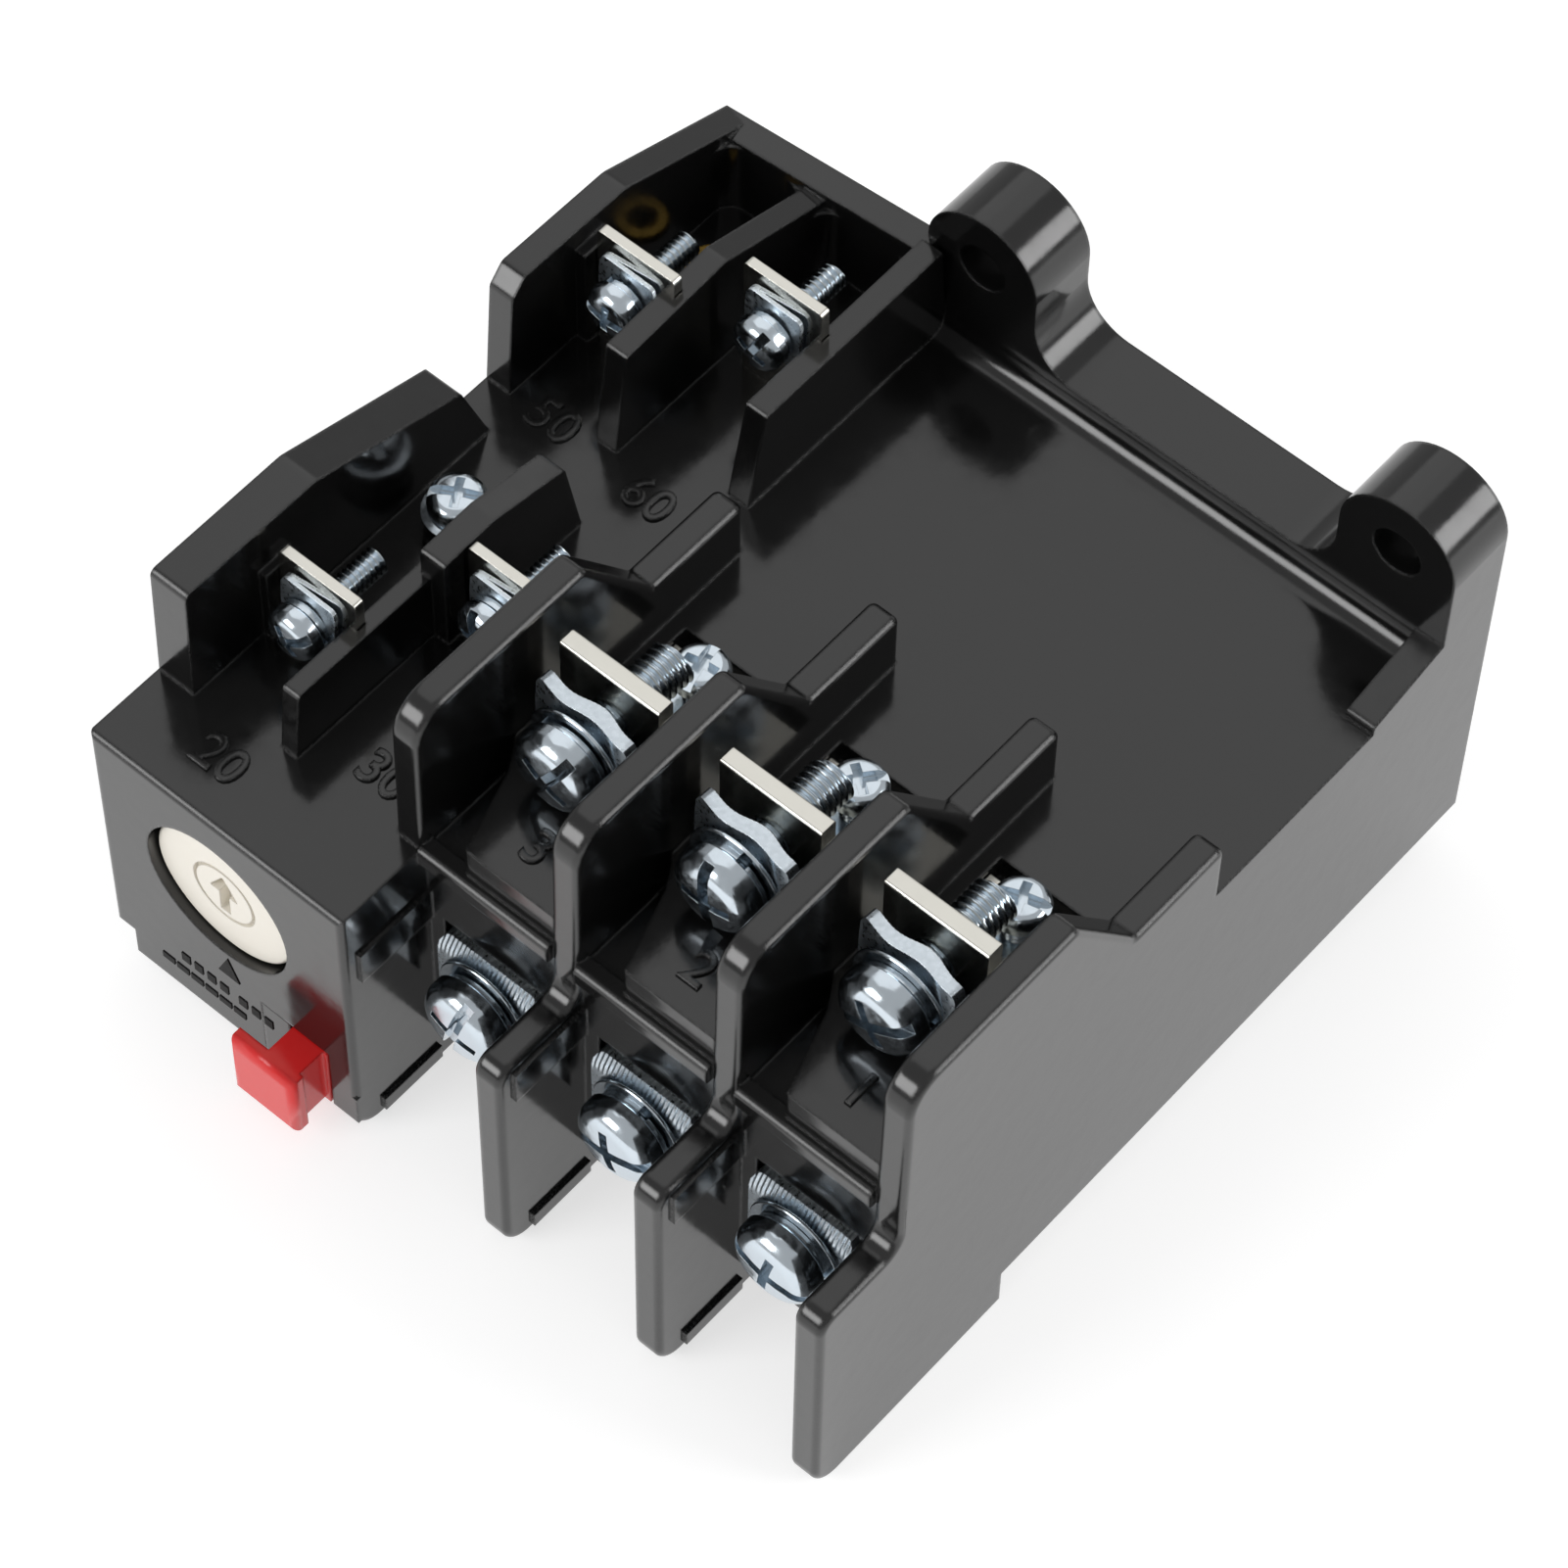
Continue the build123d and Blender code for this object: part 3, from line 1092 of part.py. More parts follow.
# Setting gear: dial, cam and lever
def dial():
    """Slotted disc with a spindle, a square for the cam and a neck for the clip."""
    back = DIAL_RECESS + DIAL_T
    disc = rod_y(DIAL_X, DIAL_Z, DIAL_R, DIAL_RECESS, back)
    disc = soften(disc, 0.4, lambda e: e.center().Y < y_at(DIAL_RECESS + SEAT) and e.length > 20)
    ring_back = DIAL_RECESS + DIAL_RING_DEEP
    ring = rod_y(DIAL_X, DIAL_Z, DIAL_RING_R + DIAL_RING_W, DIAL_RECESS - 1, ring_back)
    disc -= ring - rod_y(DIAL_X, DIAL_Z, DIAL_RING_R, DIAL_RECESS - 1, DIAL_RECESS + 1)
    disc -= pointer_slot()
    disc += rod_y(DIAL_X, DIAL_Z, DIAL_SPINDLE_R, back, CAM_FRONT)
    half = DIAL_SQUARE / 2
    disc += block(DIAL_X - half, DIAL_X + half, CAM_FRONT, CAM_BACK, DIAL_Z - half, DIAL_Z + half)
    clip_back = CAM_BACK + CLIP_T
    disc += rod_y(DIAL_X, DIAL_Z, DIAL_NECK_R, CAM_BACK, clip_back)
    return disc + rod_y(DIAL_X, DIAL_Z, BUTT_R, clip_back, clip_back + BUTT_T)


def pointer_slot():
    """Arrow-shaped slot for a screwdriver, in the middle of the dial."""
    tip = POINTER_TIP
    half = POINTER_HALF
    corners = [(0, tip), (POINTER_BARB, 0), (half, 0), (half, -tip), (-half, -tip), (-half, 0)]
    corners += [(-POINTER_BARB, 0)]
    outline = [(DIAL_X + x, DIAL_Z + z) for x, z in corners]
    floor = DIAL_RECESS + POINTER_DEEP
    return front_plate(DIAL_RECESS - 1, floor, outline, [0.2, 0.2, 0, 0.2, 0.2, 0, 0.2])


def setting_cam():
    """Spiral cam: its radius falls evenly with the angle, so the lever moves evenly."""
    points = []
    for i in range(CAM_STEPS + 1):
        angle = 2 * pi * i / CAM_STEPS
        radius = CAM_R - CAM_RISE_PER_TURN * (angle - pi) / (2 * pi)
        points.append((radius * cos(angle), radius * sin(angle)))
    outline = Spline(*points) + Line(points[-1], points[0])
    plane = Plane(origin=(DIAL_X, y_at(CAM_BACK), DIAL_Z), x_dir=(1, 0, 0), z_dir=(0, -1, 0))
    cam = extrude(plane * make_face(outline), amount=CAM_T)
    half = DIAL_SQUARE / 2
    top = DIAL_Z + half
    return cam - block(DIAL_X - half, DIAL_X + half, CAM_FRONT - 1, CAM_BACK + 1, DIAL_Z - half, top)


def dial_clip():
    """Open ring in the neck of the dial's spindle."""
    back = CAM_BACK + CLIP_T
    ring = rod_y(DIAL_X, DIAL_Z, CLIP_R, CAM_BACK, back)
    ring -= rod_y(DIAL_X, DIAL_Z, DIAL_NECK_R, CAM_BACK - 1, back + 1)
    left = DIAL_X - CLIP_MOUTH
    right = DIAL_X + CLIP_MOUTH
    return ring - block(left, right, CAM_BACK - 1, back + 1, DIAL_Z - CLIP_R - 1, DIAL_Z)


def setting_lever():
    """Lever whose nose follows the cam."""
    left = SETTING_X - SETTING_T / 2
    right = SETTING_X + SETTING_T / 2
    front = BLOCK_WALL + EASE
    low = SETTING_Z0 + SETTING_WAIST
    high = SETTING_Z1 - SETTING_WAIST
    corners = [(front, SETTING_Z0), (front, SETTING_Z1), (SETTING_HEAD_BACK, SETTING_Z1)]
    corners += [(SETTING_NECK, high), (SETTING_PIVOT, high), (SETTING_PIVOT, low)]
    corners += [(SETTING_NECK, low), (SETTING_HEAD_BACK, SETTING_Z0)]
    lever = side_plate(left, right, corners, [1, 1, 1, 1, 0, 0, 1, 1])
    nose = SETTING_NOSE_HALF
    lever += block(right, NOSE_X, front, CAM_BACK, DIAL_Z - nose, DIAL_Z + nose)
    lever += rod_z(SETTING_X, SETTING_PIVOT, KNUCKLE_R, SETTING_Z0, SETTING_Z1)
    return lever - rod_z(SETTING_X, SETTING_PIVOT, PIN_R + RUN, SETTING_Z0 - 1, SETTING_Z1 + 1)


def setting_pin():
    """Headed pin that hangs the setting lever from the housing."""
    head_top = SETTING_Z0 - RUN
    pin = rod_z(SETTING_X, SETTING_PIVOT, PIN_R, head_top, SETTING_PIN_TOP)
    return pin + rod_z(SETTING_X, SETTING_PIVOT, PIN_HEAD_R, head_top - PIN_HEAD_H, head_top)


# Reset button
def reset_button():
    """Square button with a lip behind the face and a rod back to the contacts."""
    left = BUTTON_X - BUTTON_W / 2
    right = BUTTON_X + BUTTON_W / 2
    button = block(left, right, -BUTTON_PROUD, BUTTON_BACK, BUTTON_Z0, BUTTON_Z1)
    button = soften(button, BUTTON_ROUND, lambda e: e.center().Y < y_at(-BUTTON_PROUD + SEAT))
    flange_front = FACE_WALL + RUN
    button += block(left - FLANGE_LIP, right, flange_front, flange_front + FLANGE_T, BUTTON_Z0,
                    BUTTON_Z1 + FLANGE_LIP)
    return button + rod_y(BUTTON_X, BUTTON_MID_Z, RESET_ROD_R, BUTTON_BACK, RESET_ROD_END)


def reset_spring():
    """Coil round the button's rod."""
    height = SPRING_SEAT - BUTTON_BACK - 2 * SPRING_WIRE_R
    start = Pos(BUTTON_X, y_at(BUTTON_BACK + SPRING_WIRE_R), BUTTON_MID_Z)
    path = start * Rot(-90, 0, 0) * Helix(height / SPRING_TURNS, height, SPRING_R)
    section = Plane(path @ 0, z_dir=path % 0) * Circle(SPRING_WIRE_R)
    return sweep(section, path=path)


write("housing", housing())
write("base_cover", base_cover())
write("cover_screws", group([cover_screw(x, depth) for x, depth in COVER_SCREWS]))
for number, pole_x in enumerate(POLE_X, start=1):
    write(f"upper_terminal_{number}", upper_terminal(pole_x))
    write(f"lower_terminal_{number}", lower_terminal(pole_x))
    write(f"bimetal_{number}", bimetal(pole_x))
    write(f"heater_{number}", heater(pole_x))
    write(f"strip_holder_{number}", strip_holder(pole_x))
write("strip_rivets", group([rivet for pole_x in POLE_X for rivet in strip_rivets(pole_x)]))
main_fasteners()
element_fasteners()
aux_fasteners()
mode_fasteners()
write("aux_terminal_95", terminal_95())
write("aux_terminal_96", terminal_96())
write("aux_terminal_97", terminal_97())
write("aux_terminal_98", terminal_98())
write("link_rivet", link_rivet())
write("eyelet", eyelet())
write("contact_leaf", contact_leaf())
write("moving_contact", moving_contact())
write("nc_contact", nc_contact())
write("no_contact", no_contact())
write("trip_slider", trip_slider())
write("compensator_lever", compensator_lever())
write("compensator_pin", compensator_pin())
write("push_rod", push_rod())
write("dial", dial())
write("setting_cam", setting_cam())
write("dial_clip", dial_clip())
write("setting_lever", setting_lever())
write("setting_pin", setting_pin())
write("reset_button", reset_button())
write("reset_spring", reset_spring())
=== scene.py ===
"""Looks of the three-pole thermal overload protector, over its CAD model, in metres."""
from math import cos, exp, pi, radians, sin

import bmesh
import bpy
from mathutils import Matrix, Quaternion, Vector


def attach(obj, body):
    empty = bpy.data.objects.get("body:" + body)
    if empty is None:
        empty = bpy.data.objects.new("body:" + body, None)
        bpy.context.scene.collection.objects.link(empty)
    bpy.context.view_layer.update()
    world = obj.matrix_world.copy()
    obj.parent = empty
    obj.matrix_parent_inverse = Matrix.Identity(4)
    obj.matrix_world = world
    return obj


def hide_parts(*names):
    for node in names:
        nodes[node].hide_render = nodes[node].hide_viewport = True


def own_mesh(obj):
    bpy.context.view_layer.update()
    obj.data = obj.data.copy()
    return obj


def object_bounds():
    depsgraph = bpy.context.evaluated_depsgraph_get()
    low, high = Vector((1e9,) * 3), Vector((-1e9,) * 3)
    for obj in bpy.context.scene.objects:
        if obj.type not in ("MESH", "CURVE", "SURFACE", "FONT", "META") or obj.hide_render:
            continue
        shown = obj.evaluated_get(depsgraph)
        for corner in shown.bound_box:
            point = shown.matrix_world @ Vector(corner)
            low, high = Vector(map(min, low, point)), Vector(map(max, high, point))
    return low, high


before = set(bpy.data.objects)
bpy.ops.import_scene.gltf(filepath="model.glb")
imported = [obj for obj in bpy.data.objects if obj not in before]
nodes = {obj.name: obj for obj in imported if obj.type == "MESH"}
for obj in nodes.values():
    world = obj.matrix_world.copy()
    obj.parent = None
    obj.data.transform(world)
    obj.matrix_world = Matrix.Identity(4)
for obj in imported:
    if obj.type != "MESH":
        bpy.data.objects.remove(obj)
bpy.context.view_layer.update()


# Housing
# One pressing of black phenolic in a polished steel die. The die leaves it glossy, with a skin
# that ripples a little as it cures, and with edges rounded by half a millimetre, finely chipped.
def linear(code):
    """Linear colour of an sRGB hex code."""
    parts = [int(code[i:i + 2], 16) / 255 for i in (1, 3, 5)]
    return [p / 12.92 if p <= 0.04045 else ((p + 0.055) / 1.055) ** 2.4 for p in parts] + [1.0]


def add(material, kind, **inputs):
    """New shader node; an input is a setting, a constant or another node's output."""
    node = material.node_tree.nodes.new("ShaderNode" + kind)
    for name, value in inputs.items():
        if hasattr(node, name):
            setattr(node, name, value)
        elif isinstance(value, bpy.types.NodeSocket):
            material.node_tree.links.new(value, node.inputs[name.replace("_", " ")])
        else:
            node.inputs[name.replace("_", " ")].default_value = value
    return node


def surface(name, colour, rough, grain, ripple, edge, metallic=0.0, ior=1.5):
    """Material whose roughness drifts between two values over a grain, with rounded edges.

    Grain is the size of the pattern, ripple the height of its bumps and edge the radius of
    the rounding, all in metres. A real grain too fine to show is drawn as coarse as it needs.
    """
    material = bpy.data.materials.new(name)
    material.use_nodes = True
    material.node_tree.nodes.clear()
    place = add(material, "TexCoord").outputs["Object"]
    noise = add(material, "TexNoise", Vector=place, Scale=1 / grain, Detail=3.0).outputs["Fac"]
    drift = add(material, "MapRange", Value=noise, From_Min=0.3, From_Max=0.7, To_Min=rough[0],
                To_Max=rough[1]).outputs["Result"]
    corner = add(material, "Bevel", samples=4, Radius=edge).outputs["Normal"]
    bump = add(material, "Bump", Height=noise, Distance=ripple, Normal=corner).outputs["Normal"]
    shader = add(material, "BsdfPrincipled", Metallic=metallic, IOR=ior, Roughness=drift,
                 Base_Color=linear(colour), Normal=bump)
    add(material, "OutputMaterial", Surface=shader.outputs["BSDF"])
    return material


def chip(material, depth, grain):
    """Break up a material's rounded edges with fine chips of a depth, over a grain.

    An edge is where the rounded normal leaves the flat one, so that their cosine falls.
    """
    tree = material.node_tree
    corner = next(node for node in tree.nodes if node.type == "BEVEL").outputs["Normal"]
    bump = next(node for node in tree.nodes if node.type == "BUMP")
    flat = add(material, "NewGeometry").outputs["True Normal"]
    turn = add(material, "VectorMath", operation="DOT_PRODUCT")
    tree.links.new(corner, turn.inputs[0])
    tree.links.new(flat, turn.inputs[1])
    edge = add(material, "MapRange", Value=turn.outputs["Value"], From_Min=0.995, From_Max=0.93)
    place = add(material, "TexCoord").outputs["Object"]
    grit = add(material, "TexNoise", Vector=place, Scale=1 / grain, Detail=2.0).outputs["Fac"]
    rough = add(material, "Bump", Height=grit, Distance=depth, Normal=corner,
                Strength=edge.outputs["Result"])
    tree.links.new(rough.outputs["Normal"], bump.inputs["Normal"])


def coat(mesh, material):
    """Give a mesh one material in place of its own."""
    mesh.materials.clear()
    mesh.materials.append(material)


def dress(material, *names):
    """Give CAD nodes a material."""
    for name in names:
        coat(nodes[name].data, material)


phenolic = surface("pressed_phenolic", "#0f0f0f", rough=(0.1, 0.17), grain=0.0022,
                   ripple=0.000012, edge=0.00045, ior=1.6)
chip(phenolic, depth=0.00022, grain=0.00028)
dress(phenolic, "housing")

# Base cover
# The tray that closes the works from below, pressed from phenolic in a plainer die, which leaves
# it duller than the housing and a little browner. Four screws hold it.
cover_phenolic = surface("cover_phenolic", "#131211", rough=(0.25, 0.35), grain=0.0016,
                         ripple=0.00001, edge=0.0002)
dress(cover_phenolic, "base_cover")

# Raised marks
# The die leaves a plain number beside each terminal, in the housing's own material, with
# rounded edges that catch the light.
to_metres = Matrix.Scale(0.001, 4)


def put(name, data):
    """New object in the scene."""
    thing = bpy.data.objects.new(name, data)
    bpy.context.scene.collection.objects.link(thing)
    return thing


def ride_base(piece, material, slot, *replaced):
    """Give a new piece of the base its material and hide the CAD nodes it stands for; the slot is
    not used.
    """
    coat(piece.data, material)
    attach(piece, "base")
    if replaced:
        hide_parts(*replaced)


def gather(name, placed):
    """One object, in metres, from meshes in millimetres and the matrices that place them."""
    whole = bmesh.new()
    for mesh, place in placed:
        copy = mesh.copy()
        copy.transform(to_metres @ place)
        whole.from_mesh(copy)
    bmesh.ops.recalc_face_normals(whole, faces=whole.faces)
    mesh = bpy.data.meshes.new(name)
    whole.to_mesh(mesh)
    mesh.shade_smooth()
    mesh.set_sharp_from_angle(angle=radians(32))
    return put(name, mesh)


def number(text, height):
    """Raised digit in millimetres, lying flat with its foot towards -Y."""
    curve = bpy.data.curves.new("digit", "FONT")
    curve.body = text
    curve.size = height
    curve.extrude = 0.22
    curve.bevel_depth = 0.12
    curve.resolution_u = 4
    curve.align_x = "CENTER"
    curve.align_y = "CENTER"
    return bpy.data.meshes.new_from_object(bpy.data.objects.new("digit", curve))


digit_height = 5.4
deck_top = 38.3
shelf_top = 42.9
shelf_y = -32.6
spots = {
    "20": (-33.6, -42.7, deck_top),
    "30": (-21.0, -34.0, deck_top),
    "50": (-36.6, 6.5, deck_top),
    "60": (-23.6, 5.6, deck_top),
    "1": (35.6, shelf_y, shelf_top),
    "2": (16.6, shelf_y, shelf_top),
    "3": (-2.9, shelf_y, shelf_top),
}
marks = [(number(text, digit_height), Matrix.Translation(spot)) for text, spot in spots.items()]
ride_base(gather("raised_marks", marks), phenolic, "phenolic")


# Face marks
# A pointer under the dial and two rows of plain dashes, a tenth of a millimetre proud, their
# tops left rough by the die so that they look dull black on the glossy face.
def solid(name, rings):
    """Mesh through a row of closed rings of points, its two ends capped."""
    count = len(rings[0])
    faces = [tuple(range(count))[::-1]]
    for k in range(len(rings) - 1):
        for i in range(count):
            j = (i + 1) % count
            faces.append((k * count + i, k * count + j, (k + 1) * count + j, (k + 1) * count + i))
    faces.append(tuple(range((len(rings) - 1) * count, len(rings) * count)))
    mesh = bpy.data.meshes.new(name)
    mesh.from_pydata([point for ring in rings for point in ring], [], faces)
    return mesh


def dashes(count, left, step, width, low, high):
    """Outlines of a row of dashes, in X and Z."""
    lefts = [left + i * step for i in range(count)]
    return [[(x, low), (x + width, low), (x + width, high), (x, high)] for x in lefts]


matt = surface("etched_phenolic", "#070707", rough=(0.75, 0.85), grain=0.0004, ripple=0.00001,
               edge=0.00005)
in_place = Matrix.Identity(4)
face_y = -48.5
proud = 0.1
outlines = [[(-30.6, 11.7), (-27.8, 11.7), (-29.2, 14.9)]]
outlines += dashes(6, left=-38.6, step=1.9, width=1.6, low=5.4, high=6.3)
outlines += dashes(4, left=-35.8, step=1.7, width=1.1, low=7.8, high=9.1)
outlines += dashes(3, left=-28.2, step=1.7, width=1.1, low=7.8, high=9.1)
marks = []
for outline in outlines:
    rings = [[(x, y, z) for x, z in outline] for y in (face_y - proud, face_y + proud)]
    marks.append((solid("mark", rings), in_place))
ride_base(gather("etched_marks", marks), matt, "phenolic")

# Terminal plates
# Stamped from brass strip a millimetre or two thick and nickel plated: a warm, nearly white
# metal with a soft, slightly uneven shine. Each is held by the housing's slots.
nickel = surface("nickel_plate", "#d5d3cb", rough=(0.16, 0.26), grain=0.002, ripple=0.000002,
                 edge=0.00015, metallic=1.0)
dress(nickel, "aux_terminal_95", "aux_terminal_96", "aux_terminal_97", "aux_terminal_98")
for pole in (1, 2, 3):
    dress(nickel, f"upper_terminal_{pole}", f"lower_terminal_{pole}")


# Main screws
# M5 pan heads, cold-headed from wire with a slot and a cross, the threads rolled to a pitch of
# 0.8 mm, then zinc plated: a bluish, slightly uneven shine.
def box(width, depth, height):
    """Box about the origin, in millimetres."""
    w, d = width / 2, depth / 2
    ring = [(-w, -d), (w, -d), (w, d), (-w, d)]
    return solid("box", [[(x, y, z) for x, y in ring] for z in (-height / 2, height / 2)])


def carve(mesh, tools):
    """Cut a mesh by others, each given with the matrix that places it."""
    body = put("body", mesh)
    cutters = []
    for tool, place in tools:
        cutter = put("cutter", tool)
        cutter.matrix_world = place
        step = body.modifiers.new("cut", "BOOLEAN")
        step.object = cutter
        step.solver = "EXACT"
        cutters.append(cutter)
    bpy.context.view_layer.update()
    graph = bpy.context.evaluated_depsgraph_get()
    carved = bpy.data.meshes.new_from_object(body.evaluated_get(graph))
    for thing in (body, *cutters):
        bpy.data.objects.remove(thing)
    return carved


def ring_at(radius, z):
    """Circle of points."""
    sides = 48
    angles = [2 * pi * i / sides for i in range(sides)]
    return [(radius * cos(a), radius * sin(a), z) for a in angles]


def pan_head(radius, height, slot):
    """Round-shouldered head standing on Z = 0, with a slot right across and a shorter cross."""
    flat = 0.58 * radius
    side = 0.34 * height
    rise = 0.58 * height
    steps = 10
    rings = [ring_at(radius * 0.3, 0), ring_at(radius * 0.96, 0), ring_at(radius, 0.05 * height)]
    for i in range(steps + 1):
        angle = pi / 2 * i / steps
        rings.append(ring_at(flat + (radius - flat) * cos(angle), side + rise * sin(angle)))
    rings += [ring_at(flat * 0.6, 0.97 * height), ring_at(flat * 0.1, height)]
    right_across = box(radius * 2.2, slot, height * 0.9)
    bar_of_cross = box(radius * 1.2, slot * 0.8, height * 1.25)
    top = Matrix.Translation((0, 0, height))
    tools = [(right_across, top), (bar_of_cross, top)]
    tools.append((bar_of_cross, top @ Matrix.Rotation(radians(90), 4, "Z")))
    return carve(solid("head", rings), tools)


def thread(radius, length, pitch):
    """Rolled thread below Z = 0, flat at its crest and its root."""
    sides = 32
    rows_per_turn = 8
    rows = int(length / pitch * rows_per_turn)
    rings = []
    for k in range(rows + 1):
        z = -length * k / rows
        ring = []
        for i in range(sides):
            swing = abs(2 * ((z / pitch + i / sides) % 1) - 1)
            r = radius - 0.55 * pitch * min(max(1.4 * swing - 0.2, 0), 1)
            angle = 2 * pi * i / sides
            ring.append((r * cos(angle), r * sin(angle), z))
        rings.append(ring)
    return solid("thread", rings)


def facing_front(x, y, z, turn=0):
    """Matrix that lays a screw along Y, its head towards -Y."""
    lie = Matrix.Rotation(radians(90), 4, "X") @ Matrix.Rotation(radians(turn), 4, "Z")
    return Matrix.Translation((x, y, z)) @ lie


zinc = surface("zinc_plated_steel", "#d0dae2", rough=(0.1, 0.26), grain=0.0008,
               ripple=0.000004, edge=0.00007, metallic=1.0)
pole_x = (33.7, 14.4, -4.9)
upper_z = 48.3
lower_z = 21.0
upper_head_y = -26.3
lower_head_y = -39.9
head = pan_head(radius=4.7, height=3.3, slot=1.25)
upper_thread = thread(radius=2.5, length=14.6, pitch=0.8)
lower_thread = thread(radius=2.5, length=13.4, pitch=0.8)
screws = []
for x, turn in zip(pole_x, (28, 96, 60)):
    place = facing_front(x, upper_head_y, upper_z, turn)
    screws += [(head, place), (upper_thread, place)]
for x, turn in zip(pole_x, (170, 12, 75)):
    place = facing_front(x, lower_head_y, lower_z, turn)
    screws += [(head, place), (lower_thread, place)]
ride_base(gather("rolled_main_screws", screws), zinc, "zinc_steel", "main_screws")


# Lock washers
# Under each head a split ring of spring steel, twisted so that its ends stand apart, and a thin
# stamped disc a little wider than the head, both zinc plated like the screws.
def split_ring(inner, outer, thick, lead):
    """Split washer on Z = 0, its ends a lead apart."""
    steps = 56
    gap = 8
    rings = []
    for k in range(steps + 1):
        angle = radians(gap + (360 - 2 * gap) * k / steps)
        z = lead * (k / steps - 0.5) - thick / 2
        section = [(inner, z), (outer, z), (outer, z + thick), (inner, z + thick)]
        rings.append([(r * cos(angle), r * sin(angle), h) for r, h in section])
    return solid("washer", rings)


def bore(radius):
    """Cutter for a round hole along Z, where it cuts."""
    reach = 9
    return solid("bore", [ring_at(radius, -reach), ring_at(radius, reach)]), in_place


ring_behind = 0.42
disc_behind = 0.85
ring = split_ring(inner=2.6, outer=4.2, thick=0.6, lead=0.25)
rim = [ring_at(5.2, -0.4), ring_at(5.3, -0.3), ring_at(5.3, -0.1), ring_at(5.2, 0)]
disc = carve(solid("disc", rim), [bore(2.6)])
washers = []
for i, x in enumerate(pole_x):
    for y, z in ((upper_head_y, upper_z), (lower_head_y, lower_z)):
        washers.append((ring, facing_front(x, y + ring_behind, z, 70 * i)))
        washers.append((disc, facing_front(x, y + disc_behind, z)))
ride_base(gather("split_washers", washers), zinc, "zinc_steel", "main_lock_washers")

# Main clamps
# Square plates pressed from steel and zinc plated, duller than the screws. The upper ones hang
# loose, waved across; the lower ones are bent back above and below, with grooves for the wire.
column = 0.25


def plate(width, height, corner, front, back, hole, rib=0.0):
    """Plate across X and along Y between two depths below Z = 0, both functions of (x, y)."""
    rings = []
    columns = int(width / column)
    for k in range(columns + 1):
        x = width * (k / columns - 0.5)
        inward = min(max((abs(x) - width / 2 + corner) / corner, 0), 1)
        half = height / 2 - corner * (1 - (1 - inward**2) ** 0.5) - rib * (k % 2)
        rows = [half * (2 * i / 10 - 1) for i in range(11)]
        near = [(x, y, -front(x, y)) for y in rows]
        rings.append(near + [(x, y, -back(x, y)) for y in reversed(rows)])
    return carve(solid("plate", rings), [bore(hole)])


def upper_front(x, y):
    """Front of an upper clamp, bowed along and waved across."""
    bow = 0.35 + y * y / 90
    return bow + 0.25 * sin(x * 0.85 + 0.5)


def lower_front(x, y):
    """Front of a lower clamp, its top and bottom bent back and cut with fine grooves."""
    bend = max(abs(y) - 3.3, 0)
    groove = 0.16 * (round(x / column) % 2) if bend else 0
    return 0.2 + 0.24 * bend * bend + groove


def behind(front, thick):
    """Back of a clamp, thickest round the screw."""
    return lambda x, y: front(x, y) + thick + 0.3 * exp(-((x - 0.8) / 2.4) ** 2)


stamped = surface("stamped_zinc", "#ccd5dc", rough=(0.22, 0.42), grain=0.0005, ripple=0.00003,
                  edge=0.00012, metallic=1.0)
upper_clamp_y = -24.9
lower_clamp_y = -38.6
clamp_size = {"width": 12.0, "height": 10.7, "corner": 1.0, "hole": 2.8}
upper_clamp = plate(front=upper_front, back=behind(upper_front, 1.4), rib=0.05, **clamp_size)
lower_clamp = plate(front=lower_front, back=behind(lower_front, 1.2), rib=0.1, **clamp_size)
clamps = []
for x, angle in zip(pole_x, (-4.0, -3.0, -3.0)):
    lean = Matrix.Rotation(radians(angle), 4, "Y")
    clamps.append((upper_clamp, facing_front(x, upper_clamp_y, upper_z) @ lean))
    clamps.append((lower_clamp, facing_front(x, lower_clamp_y, lower_z)))
ride_base(gather("pressed_clamps", clamps), stamped, "zinc_steel", "main_clamps")


# Element screws
# Upright M3.5 pan heads, zinc plated like the main screws. Each presses the foot of an upper
# terminal on the strip holder below it.
def upright(x, y, z, turn):
    """Matrix that stands a screw on its end, its head up."""
    return Matrix.Translation((x, y, z)) @ Matrix.Rotation(radians(turn), 4, "Z")


foot_y = -7.9
foot_top = 41.6
head = pan_head(radius=2.95, height=2.3, slot=1.15)
shank = thread(radius=1.75, length=11.6, pitch=0.6)
screws = []
for x, turn in zip(pole_x, (20, 55, 100)):
    place = upright(x, foot_y, foot_top, turn)
    screws += [(head, place), (shank, place)]
ride_base(gather("rolled_element_screws", screws), zinc, "zinc_steel", "element_screws")


# Auxiliary screws, washers and clamps
# Small pan heads with a thread pitch of 0.65 mm, each through a split washer and two thin square
# leaves, stamped and slightly cupped, that stand in a V until a wire is clamped between them.
def leaf(slope, start):
    """Leaf that starts at a depth and leans across by a slope."""
    thick = 0.45
    cup = 0.02

    def face(depth):
        return lambda x, y: depth + slope * (x + 3.5) + cup * y * y

    return plate(width=7.0, height=7.8, corner=0.8, front=face(start),
                 back=face(start + thick), hole=1.6)


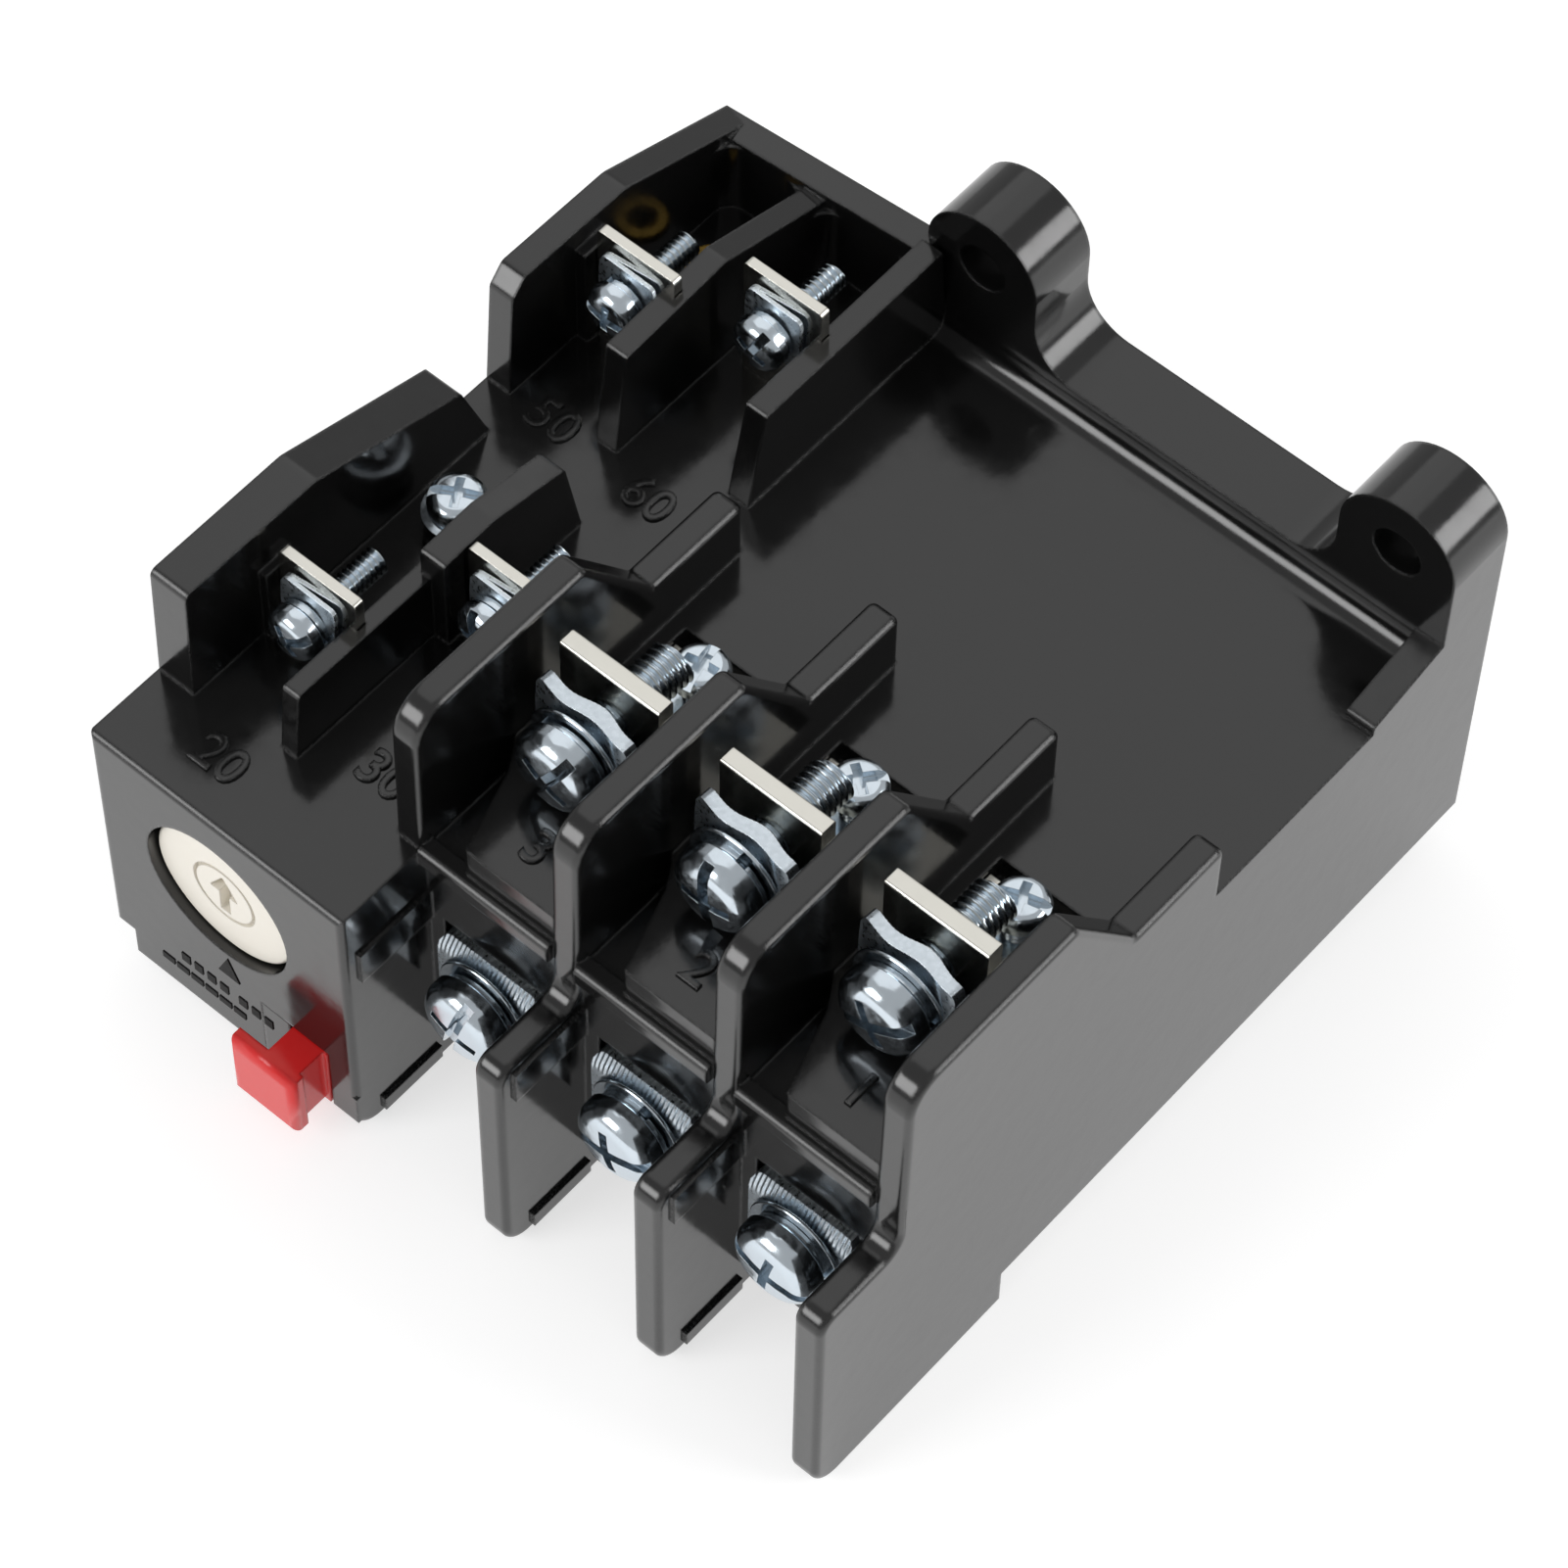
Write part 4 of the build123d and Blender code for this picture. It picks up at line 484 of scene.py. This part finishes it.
head = pan_head(radius=3.0, height=2.3, slot=1.05)
shank = thread(radius=1.5, length=10.2, pitch=0.65)
ring = split_ring(inner=1.6, outer=2.8, thick=0.7, lead=0.3)
near_leaf = leaf(slope=-0.02, start=0.2)
far_leaf = leaf(slope=0.1, start=0.5)
head_ahead = 2.4
ring_ahead = 2.0
leaves_ahead = 1.65
aux_spots = ((-34.4, 20.6, 45.7), (-21.4, 32.3, 45.9), (-35.6, 66.1, 49.0), (-22.6, 72.4, 49.0))
screws = []
washers = []
leaves = []
for i, (x, depth, z) in enumerate(aux_spots):
    plate_y = face_y + depth
    place = facing_front(x, plate_y - head_ahead, z, 35 + 70 * i)
    screws += [(head, place), (shank, place)]
    washers.append((ring, facing_front(x, plate_y - ring_ahead, z, 60 * i)))
    place = facing_front(x, plate_y - leaves_ahead, z)
    leaves += [(near_leaf, place), (far_leaf, place)]
ride_base(gather("rolled_aux_screws", screws), zinc, "zinc_steel", "aux_screws")
ride_base(gather("split_aux_washers", washers), zinc, "zinc_steel", "aux_lock_washers")
ride_base(gather("aux_clamp_leaves", leaves), stamped, "zinc_steel", "aux_clamps")

# Mode screw
# An auxiliary screw stood upright on a dished washer, both zinc plated. It fixes the way the
# protector resets.
place = upright(x=-35.0, y=-8.5, z=41.7, turn=30)
dish = [ring_at(1.6, -0.1), ring_at(3.6, -0.8), ring_at(3.6, -0.65), ring_at(1.6, 0.0)]
piece = gather("rolled_mode_screw", [(head, place), (shank, place)])
ride_base(piece, zinc, "zinc_steel", "mode_screw")
piece = gather("dished_washer", [(solid("dish", dish), place)])
ride_base(piece, zinc, "zinc_steel", "mode_washer")

# Hidden fasteners
# Zinc-plated steel too: the washers on the terminals' feet, the four countersunk screws of the
# cover, the two pins and the setting lever.
dress(zinc, "element_washers", "cover_screws", "setting_pin", "compensator_pin", "setting_lever")

# Brass and contacts
# The eyelet, the rivets and the contact leaf are rolled brass, yellow with a satin shine. The
# contacts are paler: silver faces riveted in place.
brass = surface("rolled_brass", "#d9b25a", rough=(0.22, 0.35), grain=0.0007, ripple=0.000003,
                edge=0.0001, metallic=1.0)
dress(brass, "eyelet", "link_rivet", "strip_rivets", "contact_leaf")
silver = surface("contact_silver", "#ece9e4", rough=(0.2, 0.3), grain=0.0005, ripple=0.000002,
                 edge=0.0001, metallic=1.0)
dress(silver, "moving_contact", "nc_contact", "no_contact")

# Strips, heaters and holders
# Bimetal rolled to a dull gleam for the strips and the compensating lever, nickel-chrome ribbon
# browned by heat round each strip, and holders bent from grey bare steel, riveted to the strips.
bimetal = surface("bimetal_strip", "#b9b2a6", rough=(0.28, 0.42), grain=0.0009,
                  ripple=0.000003, edge=0.0001, metallic=1.0)
ribbon = surface("heater_ribbon", "#8f8578", rough=(0.32, 0.5), grain=0.0009, ripple=0.000004,
                 edge=0.0001, metallic=1.0)
bare_steel = surface("holder_steel", "#b4b8ba", rough=(0.3, 0.42), grain=0.0009,
                     ripple=0.000003, edge=0.0001, metallic=1.0)
dress(bimetal, "compensator_lever")
for pole in (1, 2, 3):
    dress(bimetal, f"bimetal_{pole}")
    dress(ribbon, f"heater_{pole}")
    dress(bare_steel, f"strip_holder_{pole}")

# Springs
# Grey, bright music wire. The button's spring is wound from it; here it stays on the base and
# does not shorten by the 3 mm that the button goes in. The clip that holds the dial is stamped
# from the same steel.
spring = surface("spring_steel", "#a9adb0", rough=(0.22, 0.35), grain=0.0006, ripple=0.000002,
                 edge=0.0001, metallic=1.0)
dress(spring, "dial_clip")
coil = nodes["reset_spring"].data.copy()
coat(coil, spring)
piece = put("wound_spring", coil)
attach(piece, "base")
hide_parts("reset_spring")
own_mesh(piece)

# Slider, rod and cam
# Moulded in natural nylon, which gives a slightly yellow, satin skin. The slider and the rod run
# in the housing's guides, and the cam sits on the dial's shaft.
nylon = surface("moulded_nylon", "#c9b183", rough=(0.35, 0.5), grain=0.0012, ripple=0.000008,
                edge=0.0002)
dress(nylon, "trip_slider", "push_rod", "setting_cam")

# Dial
# Moulded in an off-white plastic with a satin skin, a groove round its arrow-shaped screwdriver
# slot. It turns in a well of the face, and the clip holds it from behind.
dial_plastic = surface("dial_plastic", "#e6e1d6", rough=(0.3, 0.42), grain=0.0012,
                       ripple=0.000006, edge=0.0002)
dress(dial_plastic, "dial")

# Reset button
# Moulded from a glossy red plastic: a square cap on a narrower stem that leaves the face beside
# it in view, so a strip of the housing closes the rest of the opening there.
button = surface("button_plastic", "#d42020", rough=(0.14, 0.22), grain=0.002,
                 ripple=0.000006, edge=0.0004)
cap_back = -51.75
at_face = -48.6
left_of_stem = ((-26.5, cap_back, 0), (-21.0, -47.3, 14))
right_of_stem = ((-16.95, cap_back, 0), (-15, at_face, 14))
under_stem = ((-26.5, cap_back, 0), (-15, at_face, 3.1))
cutters = []
for low, high in (left_of_stem, right_of_stem, under_stem):
    low, high = Vector(low), Vector(high)
    place = to_metres @ Matrix.Translation((low + high) / 2)
    cutters.append((box(*(high - low)), place))
moulding = carve(nodes["reset_button"].data.copy(), cutters)
coat(moulding, button)
piece = put("moulded_button", moulding)
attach(piece, "reset_body")
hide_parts("reset_button")
strip = box(width=3.7, depth=0.9, height=9.2)
strip_centre = (-23.15, -48.05, 6.85)
piece = gather("window_strip", [(strip, Matrix.Translation(strip_centre))])
ride_base(piece, phenolic, "phenolic")

# Stage
# White paper that glows enough to stay white, in a white room. A large soft lamp stands above and
# behind, and two small ones at the front and at the right draw the bright edges.
camera = put("camera", bpy.data.cameras.new("camera"))
bpy.context.scene.camera = camera
camera.data.sensor_width = 36.0
camera.data.lens = 137.18
camera.data.clip_start = 0.01
camera.location = (0.2002, -0.2415, 0.5017)
camera.rotation_mode = "QUATERNION"
look = Vector((-0.3490, 0.4186, -0.8385))
roll = Quaternion((0, 0, 1), radians(1.30))
camera.rotation_quaternion = look.to_track_quat("-Z", "Y") @ roll

white = (1, 1, 1, 1)
gap_below = 0.0002
bpy.ops.mesh.primitive_plane_add(size=12.0, location=(0, 0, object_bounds()[0].z - gap_below))
floor = bpy.context.active_object
floor.name = "floor"
paper = bpy.data.materials.new("white_paper")
paper.use_nodes = True
finish = {"Base Color": linear("#bcbcbc"), "Emission Color": white, "Emission Strength": 0.66,
          "Roughness": 0.9, "Specular IOR Level": 0.0}
for name, value in finish.items():
    paper.node_tree.nodes["Principled BSDF"].inputs[name].default_value = value
floor.data.materials.append(paper)

world = bpy.data.worlds.new("white_room")
world.use_nodes = True
world.node_tree.nodes["Background"].inputs["Color"].default_value = white
world.node_tree.nodes["Background"].inputs["Strength"].default_value = 0.5
bpy.context.scene.world = world


def softbox(name, place, size, power):
    """Square lamp turned towards the object."""
    lamp = put(name, bpy.data.lights.new(name, "AREA"))
    lamp.data.size = size
    lamp.data.energy = power
    lamp.location = place
    lamp.rotation_mode = "QUATERNION"
    lamp.rotation_quaternion = (-lamp.location).to_track_quat("-Z", "Y")


softbox("top_box", place=(-0.454, 0.544, 1.09), size=1.1, power=2.1)
softbox("front_box", place=(-0.3, -0.68, 0.46), size=0.42, power=3.0)
softbox("right_box", place=(0.68, 0.34, 0.38), size=0.42, power=3.0)

bpy.context.scene.view_settings.view_transform = "Standard"
